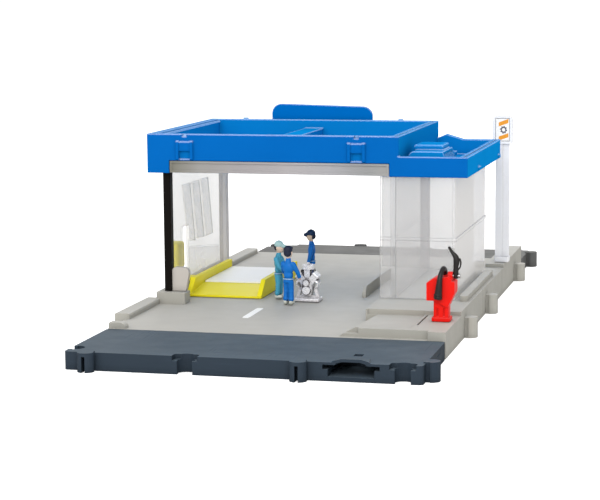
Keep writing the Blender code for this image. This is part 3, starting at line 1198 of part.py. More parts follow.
join(
    engine,
    block("intake", intake_x, (ENGINE_Y - 0.0030, ENGINE_Y + 0.0030), (intake_z, filter_z)),
    disc("air_filter", 0.0036, filter_z - GAP, filter_z + 0.0022, (ENGINE_X, ENGINE_Y, 0), sides=18),
    disc("filter_nut", 0.0009, filter_z + 0.0020, filter_z + 0.0034, (ENGINE_X, ENGINE_Y, 0), sides=8),
    disc("crank_pulley", 0.0023, -0.0014, 0.0004, (ENGINE_X, front, engine_z + 0.0030), "Y", 14),
    disc("water_pulley", 0.0017, -0.0018, 0.0004, (ENGINE_X, front, engine_z + 0.0072), "Y", 12),
)
hang_on(settle(engine, CHROME, 30), stand_axis)

bpy.context.view_layer.update()
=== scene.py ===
import math

import bmesh
import bpy
from mathutils import Matrix, Vector


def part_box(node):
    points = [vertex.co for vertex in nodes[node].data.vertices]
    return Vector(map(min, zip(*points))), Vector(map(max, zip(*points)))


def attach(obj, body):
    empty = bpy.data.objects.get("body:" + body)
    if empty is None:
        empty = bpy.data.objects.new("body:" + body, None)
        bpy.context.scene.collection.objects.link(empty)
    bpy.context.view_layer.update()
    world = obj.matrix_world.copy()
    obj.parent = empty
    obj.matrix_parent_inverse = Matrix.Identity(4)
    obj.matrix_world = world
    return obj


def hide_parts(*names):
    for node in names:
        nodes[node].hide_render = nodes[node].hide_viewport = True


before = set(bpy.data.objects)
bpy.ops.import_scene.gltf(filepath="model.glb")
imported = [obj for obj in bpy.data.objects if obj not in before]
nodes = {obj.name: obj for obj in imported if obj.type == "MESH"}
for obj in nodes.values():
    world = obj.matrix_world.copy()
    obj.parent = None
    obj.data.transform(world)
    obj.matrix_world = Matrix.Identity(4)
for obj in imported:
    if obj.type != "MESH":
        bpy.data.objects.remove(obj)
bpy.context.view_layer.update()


# The photographed view: a long lens in front of the garage, a little to its right and above it.
# It looks down a few degrees, and is rolled by less than half a degree.
VIEW_PLACE = Vector((0.2372, -1.0179, 0.1795))
VIEW_YAW = math.radians(14.15)
VIEW_PITCH = math.radians(7.93)
VIEW_ROLL = math.radians(0.44)
VIEW_LENS_MM = 110.7
VIEW_SENSOR_MM = 36.0

lens = bpy.data.cameras.new("view")
lens.lens = VIEW_LENS_MM
lens.sensor_width = VIEW_SENSOR_MM
lens.clip_start = 0.05
lens.clip_end = 50.0
camera = bpy.data.objects.new("view", lens)
bpy.context.scene.collection.objects.link(camera)
upright = Matrix.Rotation(math.pi / 2 - VIEW_PITCH, 4, "X")
turned = Matrix.Rotation(VIEW_YAW, 4, "Z") @ upright @ Matrix.Rotation(-VIEW_ROLL, 4, "Z")
camera.matrix_world = Matrix.Translation(VIEW_PLACE) @ turned
bpy.context.scene.camera = camera
bpy.context.scene.view_settings.view_transform = "Standard"


# Studio: a white room with four softboxes, and a pale sweep of table paper that reads as white.
# The paper keeps the soft shadow under the base. Reflections see a dimmer room and dimmer paper.
def tone(red, green, blue):
    """A colour read in a picture's 0 to 255 steps, as linear light."""
    steps = [level / 255 for level in (red, green, blue)]
    return tuple(s / 12.92 if s <= 0.04045 else ((s + 0.055) / 1.055) ** 2.4 for s in steps)


def give(tree, value, place):
    """Links another node's output to a socket, or sets the socket to a number or a tone."""
    if isinstance(value, bpy.types.NodeSocket):
        tree.links.new(value, place)
    elif value is not None:
        place.default_value = (*value, 1.0) if place.type == "RGBA" else value


def math_node(tree, operation, first, second=None, third=None):
    """A math node whose inputs are links from other nodes or plain numbers."""
    made = tree.nodes.new("ShaderNodeMath")
    made.operation = operation
    for place, value in zip(made.inputs, (first, second, third)):
        give(tree, value, place)
    return made.outputs[0]


def seen_directly(tree):
    """1 for what the camera sees, also through clear plastic, and 0 for other rays."""
    ray = tree.nodes.new("ShaderNodeLightPath").outputs
    return math_node(tree, "MAXIMUM", ray["Is Camera Ray"], ray["Is Transmission Ray"])


def mirrored(tree, bright, dim):
    """One value for all rays but reflections, which see it dimmer, as between black cards."""
    ray = tree.nodes.new("ShaderNodeLightPath").outputs
    return math_node(tree, "MULTIPLY_ADD", ray["Is Glossy Ray"], dim - bright, bright)


WORLD_LIGHT = 1.05
ROOM_MIRRORED = 0.45

world = bpy.data.worlds.new("studio")
bpy.context.scene.world = world
world.use_nodes = True
sky = world.node_tree
backdrop = sky.nodes["Background"]
backdrop.inputs["Color"].default_value = (1.0, 1.0, 1.0, 1.0)
falling = mirrored(sky, WORLD_LIGHT, ROOM_MIRRORED)
strength = math_node(sky, "MAXIMUM", seen_directly(sky), falling)
sky.links.new(strength, backdrop.inputs["Strength"])


def softbox(name, place, aim, size, power):
    """A square softbox lamp that faces the aimed point."""
    lamp = bpy.data.lights.new(name, "AREA")
    lamp.size = size
    lamp.energy = power
    stand = bpy.data.objects.new(name, lamp)
    stand.location = place
    stand.rotation_euler = (Vector(place) - Vector(aim)).to_track_quat("Z", "Y").to_euler()
    bpy.context.scene.collection.objects.link(stand)


softbox("key_lamp", (0.4, -1.1, 1.3), (0.0, 0.0, 0.03), 0.9, 4.0)
softbox("fill_lamp", (-0.9, -0.9, 0.9), (0.0, 0.0, 0.03), 1.0, 2.0)
softbox("front_lamp", (0.12, -1.3, 0.7), (0.0, 0.0, 0.04), 0.7, 7.0)
softbox("rear_lamp", (-0.1, 1.3, 0.8), (0.0, 0.0, 0.01), 0.7, 5.0)

TABLE_TONE = 0.86
TABLE_GLOW = 0.48
GLOW_THROUGH_SHEET = 0.1
TABLE_HALF = 12.0


def new_material(name):
    """A material, with its tree of nodes and its shader."""
    made = bpy.data.materials.new(name)
    made.use_nodes = True
    return made, made.node_tree, made.node_tree.nodes["Principled BSDF"]


table_shape = bmesh.new()
bmesh.ops.create_grid(table_shape, x_segments=1, y_segments=1, size=TABLE_HALF)
table_mesh = bpy.data.meshes.new("table")
table_shape.to_mesh(table_mesh)
table_shape.free()
table = bpy.data.objects.new("table", table_mesh)
bpy.context.scene.collection.objects.link(table)
table_paper, tree, paper = new_material("table_paper")
grey = tree.nodes.new("ShaderNodeCombineColor")
for channel in grey.inputs:
    tree.links.new(mirrored(tree, TABLE_TONE, TABLE_TONE * ROOM_MIRRORED), channel)
tree.links.new(grey.outputs["Color"], paper.inputs["Base Color"])
paper.inputs["Roughness"].default_value = 0.9
paper.inputs["Specular IOR Level"].default_value = 0.0
paper.inputs["Emission Color"].default_value = (1.0, 1.0, 1.0, 1.0)
sheets = tree.nodes.new("ShaderNodeLightPath").outputs["Transparent Depth"]
behind_sheet = math_node(tree, "MINIMUM", sheets, 1.0)
open_view = math_node(tree, "MULTIPLY_ADD", behind_sheet, GLOW_THROUGH_SHEET - 1.0, 1.0)
glow = math_node(tree, "MULTIPLY", seen_directly(tree), open_view)
tree.links.new(math_node(tree, "MULTIPLY", glow, TABLE_GLOW), paper.inputs["Emission Strength"])
table_mesh.materials.append(table_paper)


# Light grey deck: one injection moulding in satin plastic, with a fine grain from the mould.
# Mould flow shades it a little, its corners take painted shade and dust, and play leaves fine
# scuffs.
# The lane's bumper is a moulding of its own, and the lane's white mark is printed on the deck.
def finish_group(name, colours, numbers, outputs):
    """A new shader group with its sockets, and the sockets as seen from inside it."""
    group = bpy.data.node_groups.new(name, "ShaderNodeTree")
    add = group.interface.new_socket
    for colour in colours:
        add(name=colour, in_out="INPUT", socket_type="NodeSocketColor")
    for number, value in numbers.items():
        add(name=number, in_out="INPUT", socket_type="NodeSocketFloat").default_value = value
    for output in outputs:
        kind = {"Colour": "Color", "Normal": "Vector"}.get(output, "Float")
        add(name=output, in_out="OUTPUT", socket_type=f"NodeSocket{kind}")
    given = group.nodes.new("NodeGroupInput").outputs
    result = group.nodes.new("NodeGroupOutput").inputs
    return group, given, result


def placed(tree, group, values):
    """A finish group among a material's nodes, with that material's own values."""
    node = tree.nodes.new("ShaderNodeGroup")
    node.node_tree = group
    for name, value in values.items():
        give(tree, value, node.inputs[name])
    return node


def noise(tree, scale, detail=3.0, stretch=None, turn=None):
    """A noise texture in the piece's own coordinates, which can be drawn out and turned."""
    place = tree.nodes.new("ShaderNodeTexCoord").outputs["Object"]
    if stretch:
        mapping = tree.nodes.new("ShaderNodeMapping")
        mapping.inputs["Scale"].default_value = stretch
        mapping.inputs["Rotation"].default_value = turn or (0.0, 0.0, 0.0)
        tree.links.new(place, mapping.inputs["Vector"])
        place = mapping.outputs["Vector"]
    texture = tree.nodes.new("ShaderNodeTexNoise")
    texture.inputs["Scale"].default_value = scale
    texture.inputs["Detail"].default_value = detail
    tree.links.new(place, texture.inputs["Vector"])
    return texture.outputs["Fac"]


def spread(tree, value, low, high, to_low=0.0, to_high=1.0):
    """Maps a value from one span to another, and keeps it within the second."""
    made = tree.nodes.new("ShaderNodeMapRange")
    tree.links.new(value, made.inputs["Value"])
    spans = {"From Min": low, "From Max": high, "To Min": to_low, "To Max": to_high}
    for name, number in spans.items():
        give(tree, number, made.inputs[name])
    return made.outputs["Result"]


def bumped(tree, height, strength, depth, normal=None):
    """The normal over a fine relief, which can lie on another normal."""
    bump = tree.nodes.new("ShaderNodeBump")
    values = {"Height": height, "Strength": strength, "Distance": depth, "Normal": normal}
    for name, value in values.items():
        give(tree, value, bump.inputs[name])
    return bump.outputs["Normal"]


def rounded_edge(tree, radius):
    """The normal as if the edges were rounded, and how far it still agrees with the flat face's."""
    rounding = tree.nodes.new("ShaderNodeBevel")
    rounding.samples = 6
    give(tree, radius, rounding.inputs["Radius"])
    flat = tree.nodes.new("ShaderNodeNewGeometry")
    facing = tree.nodes.new("ShaderNodeVectorMath")
    facing.operation = "DOT_PRODUCT"
    tree.links.new(rounding.outputs["Normal"], facing.inputs[0])
    tree.links.new(flat.outputs["True Normal"], facing.inputs[1])
    return rounding.outputs["Normal"], facing.outputs["Value"]


CLOUD_SCALE = 35.0
STREAK_SCALE = 60.0
WORN_SCALE = 55.0
SMEAR_SCALE = 90.0
GRAIN_SCALE = 2600.0
GRAIN_DEPTH = 0.00005
DUST_AND_SHADE_REACH = 0.004


def moulded_skin():
    """Shader group for moulded plastic: drift of shade, grain, soft edges with painted highlights,
    painted shade and dust in the corners, and scuffs.
    """
    numbers = {
        "Shade Drift": 0.04,
        "Roughness": 0.4,
        "Grain": 0.1,
        "Edge Light": 0.1,
        "Edge White": 0.0,
        "Edge Radius": 0.0004,
        "Corner Shade": 0.15,
        "Scuffs": 0.2,
    }
    outputs = ("Colour", "Roughness", "Normal")
    group, given, result = finish_group("moulded_skin", ["Colour"], numbers, outputs)
    link = group.links.new

    # The melt's flow shades it in clouds and in long streaks. Its edges are painted paler, a
    # painted highlight.
    cloud = spread(group, noise(group, CLOUD_SCALE), 0.3, 0.7, -0.5, 0.5)
    streak = noise(group, STREAK_SCALE, detail=2.0, stretch=(1.0, 0.12, 0.4))
    streak = spread(group, streak, 0.35, 0.65, -0.5, 0.5)
    drift = math_node(group, "MULTIPLY_ADD", streak, 0.5, cloud)
    shade = math_node(group, "MULTIPLY_ADD", drift, given["Shade Drift"], 1.0)
    normal, agrees = rounded_edge(group, given["Edge Radius"])
    edge = spread(group, agrees, 0.98, 0.75)
    shade = math_node(group, "MULTIPLY_ADD", edge, given["Edge Light"], shade)

    # Painted shade darkens the corners, where dust also dulls the gloss.
    corners = group.nodes.new("ShaderNodeAmbientOcclusion")
    corners.samples = 4
    corners.inputs["Distance"].default_value = DUST_AND_SHADE_REACH
    corner_dust_and_shade = spread(group, corners.outputs["AO"], 0.95, 0.35)
    painted_corner_shade = math_node(group, "MULTIPLY", corner_dust_and_shade, given["Corner Shade"])
    shade = math_node(group, "SUBTRACT", shade, painted_corner_shade)

    # Scuffs are fine lines that cross, and show where the surface is worn.
    lengthwise = noise(group, 900.0, detail=1.0, stretch=(1.0, 0.035, 1.0), turn=(0.0, 0.0, 0.5))
    crosswise = noise(group, 700.0, detail=1.0, stretch=(0.04, 1.0, 1.0), turn=(0.0, 0.0, 0.3))
    lengthwise = spread(group, lengthwise, 0.66, 0.71)
    crosswise = spread(group, crosswise, 0.67, 0.72)
    lines = math_node(group, "MAXIMUM", lengthwise, crosswise)
    worn = spread(group, noise(group, WORN_SCALE), 0.48, 0.62)
    lines = math_node(group, "MULTIPLY", lines, worn)
    scuffs = math_node(group, "MULTIPLY", lines, given["Scuffs"])
    shade = math_node(group, "MULTIPLY_ADD", scuffs, 0.25, shade)

    # The colour takes all that shade, and edges that face up take a painted white highlight.
    shaded = group.nodes.new("ShaderNodeVectorMath")
    shaded.operation = "SCALE"
    link(given["Colour"], shaded.inputs[0])
    link(shade, shaded.inputs["Scale"])
    paled = group.nodes.new("ShaderNodeVectorMath")
    paled.operation = "ADD"
    link(shaded.outputs["Vector"], paled.inputs[0])
    split = group.nodes.new("ShaderNodeSeparateXYZ")
    link(normal, split.inputs[0])
    ridge = spread(group, agrees, 0.995, 0.94)
    lit = math_node(group, "MULTIPLY", ridge, spread(group, split.outputs["Z"], 0.08, 0.32))
    link(math_node(group, "MULTIPLY", lit, given["Edge White"]), paled.inputs[1])
    link(paled.outputs["Vector"], result["Colour"])

    # The gloss is smeared, and duller on scuffs and dust. A fine grain comes from the mould.
    smear = spread(group, noise(group, SMEAR_SCALE, detail=4.0), 0.3, 0.7, 0.9, 1.15)
    rough = math_node(group, "MULTIPLY", smear, given["Roughness"])
    rough = math_node(group, "MULTIPLY_ADD", scuffs, 0.5, rough)
    link(math_node(group, "MULTIPLY_ADD", corner_dust_and_shade, 0.08, rough), result["Roughness"])
    grain = noise(group, GRAIN_SCALE, detail=2.0)
    link(bumped(group, grain, given["Grain"], GRAIN_DEPTH, normal), result["Normal"])
    return group


SKIN = moulded_skin()


def lay_on(tree, shader, group, values):
    """Places a finish group in a material, and links its outputs to the shader."""
    node = placed(tree, group, values)
    tree.links.new(node.outputs["Colour"], shader.inputs["Base Color"])
    for name in ("Metallic", "Roughness", "Normal"):
        if name in node.outputs:
            tree.links.new(node.outputs[name], shader.inputs[name])
    return node


def plastic(name, colour, roughness, specular=0.3, **skin_values):
    """A moulded plastic. Its colour is a tone, or a function that makes one with nodes."""
    material, tree, shader = new_material(name)
    values = {key.replace("_", " ").title(): value for key, value in skin_values.items()}
    values["Colour"] = colour(tree) if callable(colour) else colour
    values["Roughness"] = roughness
    lay_on(tree, shader, SKIN, values)
    shader.inputs["Specular IOR Level"].default_value = specular
    return material


def dress(name, material):
    """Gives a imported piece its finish."""
    mesh = nodes[name].data
    mesh.materials.clear()
    mesh.materials.append(material)


def along(tree, axis, coordinates="Object"):
    """How far a point of the piece lies along an axis, or its normal leans that way."""
    split = tree.nodes.new("ShaderNodeSeparateXYZ")
    tree.links.new(tree.nodes.new("ShaderNodeTexCoord").outputs[coordinates], split.inputs[0])
    return split.outputs[axis]


def mixed(tree, share, first, second):
    """Mixes two colours, each a tone or another node's output."""
    mix = tree.nodes.new("ShaderNodeMix")
    mix.data_type = "RGBA"
    for name, value in (("Factor", share), ("A", first), ("B", second)):
        give(tree, value, mix.inputs[name])
    return mix.outputs["Result"]


def worn_and_lit_top():
    """Shader group for two tones of a plastic: painted paler on top, as lit from above, in patches
    where wheels and hands rub it.
    """
    group, given, result = finish_group("worn_and_lit_top", ["Side", "Top"], {}, ["Colour"])
    rubbed = noise(group, 22.0, detail=4.0, stretch=(0.5, 1.6, 1.0))
    rubbed = spread(group, rubbed, 0.35, 0.7, 0.8, 1.0)
    upward = spread(group, along(group, "Z", "Normal"), 0.2, 0.8)
    share = math_node(group, "MULTIPLY", rubbed, upward)
    group.links.new(mixed(group, share, given["Side"], given["Top"]), result["Colour"])
    return group


WORN_AND_LIT_TOP = worn_and_lit_top()


def worn_and_lit_colour(side, top):
    """A colour for plastic() that has a tone for its sides and one for its top, painted paler as
    lit from above and rubbed.
    """
    return lambda tree: placed(tree, WORN_AND_LIT_TOP, {"Side": side, "Top": top}).outputs["Colour"]


# The deck's top is painted paler than its sides, a painted light from above, with rubbed patches.
DECK_PLASTIC = plastic(
    "deck_plastic",
    worn_and_lit_colour(tone(163, 161, 153), tone(178, 176, 170)),
    roughness=0.5,
    specular=0.15,
    grain=0.3,
    corner_shade=0.22,
    scuffs=0.35,
    shade_drift=0.05,
)
dress("base_deck", DECK_PLASTIC)
BUMPER_PLASTIC = plastic(
    "bumper_plastic",
    tone(184, 178, 171),
    roughness=0.45,
    specular=0.15,
    corner_shade=0.35,
    grain=0.2,
)
dress("lane_bumper", BUMPER_PLASTIC)

# The mark is a thin print on the road, a long rectangle with round corners.
# ROUND and FLAT are angles between faces, in degrees, below which a piece is shaded smooth.
ROUND = 40


def piece_from(name, shape, material, body, replaced=None, smooth_under=ROUND):
    """Turns a shape into a piece that rides on a body, shaded smooth where faces meet gently."""
    bmesh.ops.recalc_face_normals(shape, faces=shape.faces)
    mesh = bpy.data.meshes.new(name)
    shape.to_mesh(mesh)
    shape.free()
    mesh.materials.append(material)
    mesh.shade_smooth()
    mesh.set_sharp_from_angle(angle=math.radians(smooth_under))
    piece = bpy.data.objects.new(name, mesh)
    bpy.context.scene.collection.objects.link(piece)
    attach(piece, body)
    if replaced:
        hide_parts(replaced)
    return piece


def extrude(shape, outline, across, low, high, bevel=0.0):
    """Adds an outline in the plane across one axis, drawn out from low to high along it."""
    place = {
        "X": lambda a, b, c: Vector((c, a, b)),
        "Y": lambda a, b, c: Vector((a, c, b)),
        "Z": lambda a, b, c: Vector((a, b, c)),
    }[across]
    bottom = [shape.verts.new(place(a, b, low)) for a, b in outline]
    top = [shape.verts.new(place(a, b, high)) for a, b in outline]
    faces = [shape.faces.new(bottom), shape.faces.new(top[::-1])]
    for step in range(len(outline)):
        after = (step + 1) % len(outline)
        faces.append(shape.faces.new((bottom[step], top[step], top[after], bottom[after])))
    if bevel:
        rims = list({edge for face in faces[:2] for edge in face.edges})
        bmesh.ops.bevel(shape, geom=rims, offset=bevel, segments=2, profile=0.5, affect="EDGES")
    return shape


ROAD_TOP = 0.0090
MARK_X = (-0.0290, -0.0250)
MARK_Y = (-0.0900, -0.0590)
MARK_THICK = 0.00012
MARK_POINTS = 24
MARK_SQUARENESS = 1.3

MARK_PAINT = plastic(
    "lane_mark_paint",
    tone(240, 240, 238),
    roughness=0.45,
    shade_drift=0.08,
    scuffs=0.6,
    edge_light=0.0,
)
mark_outline = []
for step in range(MARK_POINTS):
    angle = 2 * math.pi * (step + 0.5) / MARK_POINTS
    point = []
    for (low, high), reach in ((MARK_X, math.cos(angle)), (MARK_Y, math.sin(angle))):
        reach = max(-1, min(1, MARK_SQUARENESS * reach))
        point.append((low + high) / 2 + (high - low) / 2 * reach)
    mark_outline.append(point)
mark = extrude(bmesh.new(), mark_outline, "Z", ROAD_TOP - MARK_THICK, ROAD_TOP + MARK_THICK)
piece_from("lane_mark", mark, MARK_PAINT, "base")


# Road strips at both ends: the same satin plastic, dark blue-grey in front and grey behind.
# They are held by screws through their tongues. Their driving surface is painted paler than their
# sides, a painted light from above, with rubbed patches.
for name, side, top in (
    ("front_road_strip", tone(44, 54, 64), tone(81, 93, 103)),
    ("rear_road_strip", tone(92, 92, 91), tone(98, 98, 96)),
):
    road_plastic = plastic(
        f"{name}_plastic",
        worn_and_lit_colour(side, top),
        roughness=0.5,
        specular=0.1,
        grain=0.35,
        corner_shade=0.3,
        scuffs=0.5,
        edge_light=0.25,
    )
    dress(name, road_plastic)


# Posts: square mouldings, black in front and grey behind, each screwed to the deck from below.
# The screws are zinc-plated steel, as the nozzle's pin is.
FLAT = 1
WELD = 1e-6
FLUSH = math.radians(0.5)


def shape_of(node):
    """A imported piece's mesh with its flat faces whole again, to be made into another."""
    shape = bmesh.new()
    shape.from_mesh(nodes[node].data)
    bmesh.ops.remove_doubles(shape, verts=shape.verts, dist=WELD)
    bmesh.ops.dissolve_limit(shape, angle_limit=FLUSH, verts=shape.verts, edges=shape.edges)
    return shape


SLIM_POST_X = (-0.0842, -0.0800)
post_low, post_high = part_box("front_left_post")
slim_post = shape_of("front_left_post")
for vertex in slim_post.verts:
    share = (vertex.co.x - post_low[0]) / (post_high[0] - post_low[0])
    vertex.co.x = SLIM_POST_X[0] + share * (SLIM_POST_X[1] - SLIM_POST_X[0])
# The black post's edges are painted paler, a painted highlight.
BLACK_POST = plastic(
    "black_post_plastic", tone(16, 12, 9), roughness=0.45, specular=0.1, edge_light=0.6
)
piece_from("black_corner_post", slim_post, BLACK_POST, "base", "front_left_post", FLAT)
for name, finish, colour in (
    ("rear_left_post", "grey_post_plastic", tone(212, 208, 206)),
    ("rear_right_post", "office_post_plastic", tone(162, 158, 164)),
):
    dress(name, plastic(finish, colour, roughness=0.45, specular=0.15))


TOOL_RING_DEPTH = 0.00003


def zinc_steel():
    """Zinc plate on turned steel: fine rings of the tool and a mottled crystal lustre."""
    material, tree, shader = new_material("zinc_steel")
    mottle = spread(tree, noise(tree, 1400.0, detail=4.0), 0.3, 0.7)
    plate = mixed(tree, mottle, tone(150, 150, 155), tone(200, 200, 198))
    tree.links.new(plate, shader.inputs["Base Color"])
    tree.links.new(spread(tree, mottle, 0.0, 1.0, 0.22, 0.4), shader.inputs["Roughness"])
    shader.inputs["Metallic"].default_value = 1.0
    rings = noise(tree, 3000.0, detail=2.0, stretch=(1.0, 1.0, 8.0))
    tree.links.new(bumped(tree, rings, 0.15, TOOL_RING_DEPTH), shader.inputs["Normal"])
    return material


STEEL = zinc_steel()
for name in nodes:
    if "screw" in name or name == "nozzle_pin":
        dress(name, STEEL)


# Clear walls: panels of clear styrene that stand between the deck and the roof, a little hazy.
# Light gathers in their edges, which read as grey lines, and they gloss over at a slant.
# The office's right side is milkier than its front.
RIPPLE_DEPTH = 0.0003


def clear_sheet():
    """Shader group for clear sheet: how much haze it has, and where its edges gather light."""
    colours = ("Body Colour", "Edge Colour")
    numbers = {"Haze": 0.2, "Edge Haze": 0.6, "Edge Radius": 0.0007, "Roughness": 0.1}
    outputs = ("Colour", "Alpha", "Roughness", "Normal")
    group, given, result = finish_group("clear_sheet", colours, numbers, outputs)
    link = group.links.new
    normal, agrees = rounded_edge(group, given["Edge Radius"])
    edge = spread(group, agrees, 0.97, 0.72)
    link(mixed(group, edge, given["Body Colour"], given["Edge Colour"]), result["Colour"])
    flow = noise(group, 26.0, detail=2.0, stretch=(1.0, 1.0, 0.35))
    flow = spread(group, flow, 0.3, 0.7, 0.85, 1.2)
    haze = math_node(group, "MULTIPLY", given["Haze"], flow)
    link(math_node(group, "MULTIPLY_ADD", edge, given["Edge Haze"], haze), result["Alpha"])
    smear = spread(group, noise(group, 70.0, detail=4.0), 0.3, 0.7, 0.7, 1.5)
    link(math_node(group, "MULTIPLY", smear, given["Roughness"]), result["Roughness"])
    ripple = noise(group, 45.0, detail=1.0)
    link(bumped(group, ripple, 0.12, RIPPLE_DEPTH, normal), result["Normal"])
    return group


CLEAR_SHEET = clear_sheet()
SHEET_SHADOW = 0.2
MOST_HAZE = 0.95
MILKY_TONE = tone(224, 221, 218)
MILKY_SLANT = 4.0
MILKY_BLEND = 0.0002


def clear_plastic(name, body, edge, haze, edge_haze, slant, roughness, milky_from=None):
    """Clear or tinted sheet. Alpha carries how much it hides, which grows at a slant.
    Light that falls through it loses little. Beyond milky_from along X it is milky."""
    material, tree, shader = new_material(name)
    if milky_from is not None:
        milky = spread(tree, along(tree, "X"), milky_from, milky_from + MILKY_BLEND)
        slant = math_node(tree, "MULTIPLY_ADD", milky, MILKY_SLANT - slant, slant)
        body = mixed(tree, milky, body, MILKY_TONE)
    values = {"Body Colour": body, "Edge Colour": edge, "Haze": haze, "Edge Haze": edge_haze}
    sheet = lay_on(tree, shader, CLEAR_SHEET, {**values, "Roughness": roughness})
    weight = tree.nodes.new("ShaderNodeLayerWeight")
    weight.inputs["Blend"].default_value = 0.2
    rising = math_node(tree, "POWER", weight.outputs["Facing"], 2.0)
    alpha = math_node(tree, "MULTIPLY_ADD", rising, slant, sheet.outputs["Alpha"])
    ray = tree.nodes.new("ShaderNodeLightPath").outputs
    falling = math_node(tree, "MAXIMUM", ray["Is Shadow Ray"], ray["Is Diffuse Ray"])
    passed = math_node(tree, "MULTIPLY_ADD", falling, SHEET_SHADOW - 1.0, 1.0)
    alpha = math_node(tree, "MULTIPLY", math_node(tree, "MINIMUM", alpha, MOST_HAZE), passed)
    tree.links.new(alpha, shader.inputs["Alpha"])
    shader.inputs["Specular IOR Level"].default_value = 0.5
    return material


OFFICE_SIDE = 0.0019
OFFICE_SHEET = {
    "body": tone(198, 197, 196),
    "edge": tone(158, 158, 161),
    "haze": 0.25,
    "edge_haze": 0.65,
    "slant": 0.4,
    "roughness": 0.05,
}
milky_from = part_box("office_walls")[1][0] - OFFICE_SIDE
dress("office_walls", clear_plastic("clear_office", **OFFICE_SHEET, milky_from=milky_from))
dress("rear_pane", clear_plastic("clear_pane", **OFFICE_SHEET))
WALL_SHEET = clear_plastic(
    "clear_wall",
    tone(204, 197, 188),
    tone(172, 166, 162),
    haze=0.21,
    edge_haze=0.5,
    slant=0.3,
    roughness=0.05,
)
dress("left_wall", WALL_SHEET)

# The left wall's three leaning bands and its lower panel are printed smoky grey on raised faces.
# The slot for the lift's arm takes a corner off the first band.
BAND_FACE_X = -0.08280
PRINT_THICK = 0.00008
BAND_STARTS = (-0.0205, -0.0028, 0.0149)
BAND_WIDTH = 0.0143
BAND_LEAN = 0.0086
BAND_TOP = 0.0715
BAND_FOOT = 0.0372
BAND_FOOT_STEP = 0.0010
BAND_INSET = 0.0004
ARM_SLOT_RIGHT = -0.0096
ARM_SLOT_TOP = 0.0476

INK = {"haze": 0.25, "edge_haze": 0.1, "slant": 0.1, "roughness": 0.3}
SMOKE = clear_plastic("smoke_print", tone(214, 211, 206), tone(198, 196, 192), **INK)
MIST = clear_plastic("mist_print", tone(230, 227, 229), tone(212, 209, 212), **INK)
for number, start in enumerate(BAND_STARTS):
    foot = (start + BAND_LEAN + BAND_INSET, BAND_FOOT + BAND_FOOT_STEP * (2 - number))
    head = (start + BAND_INSET, BAND_TOP - BAND_INSET)
    outline = [
        foot,
        (start + BAND_LEAN + BAND_WIDTH - BAND_INSET, BAND_FOOT),
        (start + BAND_WIDTH - BAND_INSET, BAND_TOP - BAND_INSET),
        head,
    ]
    if foot[0] < ARM_SLOT_RIGHT:
        share = (ARM_SLOT_TOP - foot[1]) / (head[1] - foot[1])
        outline[0] = (ARM_SLOT_RIGHT, foot[1])
        outline.append((foot[0] + share * (head[0] - foot[0]), ARM_SLOT_TOP))
        outline.append((ARM_SLOT_RIGHT, ARM_SLOT_TOP))
    band = extrude(bmesh.new(), outline, "X", BAND_FACE_X, BAND_FACE_X + PRINT_THICK)
    piece_from(f"wall_band_{number + 1}", band, SMOKE, "base")

DADO_SET_BACK = 0.0003
DADO_FACE_X = BAND_FACE_X - DADO_SET_BACK
DADO = [(-0.0110, 0.0184), (0.0502, 0.0184), (0.0502, 0.0276), (-0.0110, 0.0346)]
dado = extrude(bmesh.new(), DADO, "X", DADO_FACE_X, DADO_FACE_X + PRINT_THICK)
piece_from("wall_lower_panel", dado, MIST, "base")


# Roof: a blue tray moulding that clips over the posts and walls, with a lower annex on the right.
# Its air unit and duct are the same blue, and its sign board is a deeper one.
# The header in its front fascia is a printed silver strip.
roof_low, roof_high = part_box("roof")
FASCIA_BLEND = (roof_low[1] + 0.0008, roof_low[1] + 0.0030)


def roof_colour(tree):
    """Clear blue, painted paler behind the front fascia: a painted light where light comes through
    the thin tray.
    """
    inside = spread(tree, along(tree, "Y"), *FASCIA_BLEND)
    return mixed(tree, inside, tone(6, 92, 168), tone(8, 124, 192))


# The roof's edges that face up take a strong painted highlight, and all its edges are painted a
# little paler.
ROOF_SKIN = {
    "roughness": 0.42,
    "specular": 0.0,
    "edge_light": 0.15,
    "edge_white": 0.32,
    "edge_radius": 0.0011,
    "corner_shade": 0.25,
    "scuffs": 0.15,
}
ROOF_PLASTIC = plastic("roof_plastic", roof_colour, **ROOF_SKIN)
BOARD_PLASTIC = plastic("board_plastic", tone(0, 106, 182), **ROOF_SKIN)

# The tray's cross beam stands left of the solid's, and a ledge runs along inside the left rim.
BEAM_X = (roof_low[0] + 0.0730, roof_low[0] + 0.0840)
BEAM_SHIFT = -0.0130
LEDGE_X = (roof_low[0] + 0.0040, roof_low[0] + 0.0062)
LEDGE_Z = (roof_low[2] + 0.0010, roof_high[2] - 0.0022)
TRAY_EDGE = 0.0040
NEAR = 1e-5

roof_shape = shape_of("roof")
for vertex in roof_shape.verts:
    x, y, _ = vertex.co
    in_tray = roof_low[1] + TRAY_EDGE < y < roof_high[1] - TRAY_EDGE
    if in_tray and BEAM_X[0] - NEAR < x < BEAM_X[1] + NEAR:
        vertex.co.x += BEAM_SHIFT
ledge = [(LEDGE_X[right], LEDGE_Z[top]) for right, top in ((0, 0), (1, 0), (1, 1), (0, 1))]
extrude(roof_shape, ledge, "Y", roof_low[1] + TRAY_EDGE, roof_high[1] - TRAY_EDGE)
piece_from("roof_moulding", roof_shape, ROOF_PLASTIC, "base", "roof", FLAT)
dress("rooftop_duct", ROOF_PLASTIC)

# The sign board is blank, with two round corners and a top that falls to the right.
BOARD_ROUND = 0.0060
BOARD_ROUND_STEPS = 8
BOARD_WIDER = 0.0013
BOARD_SLOPE = 0.12

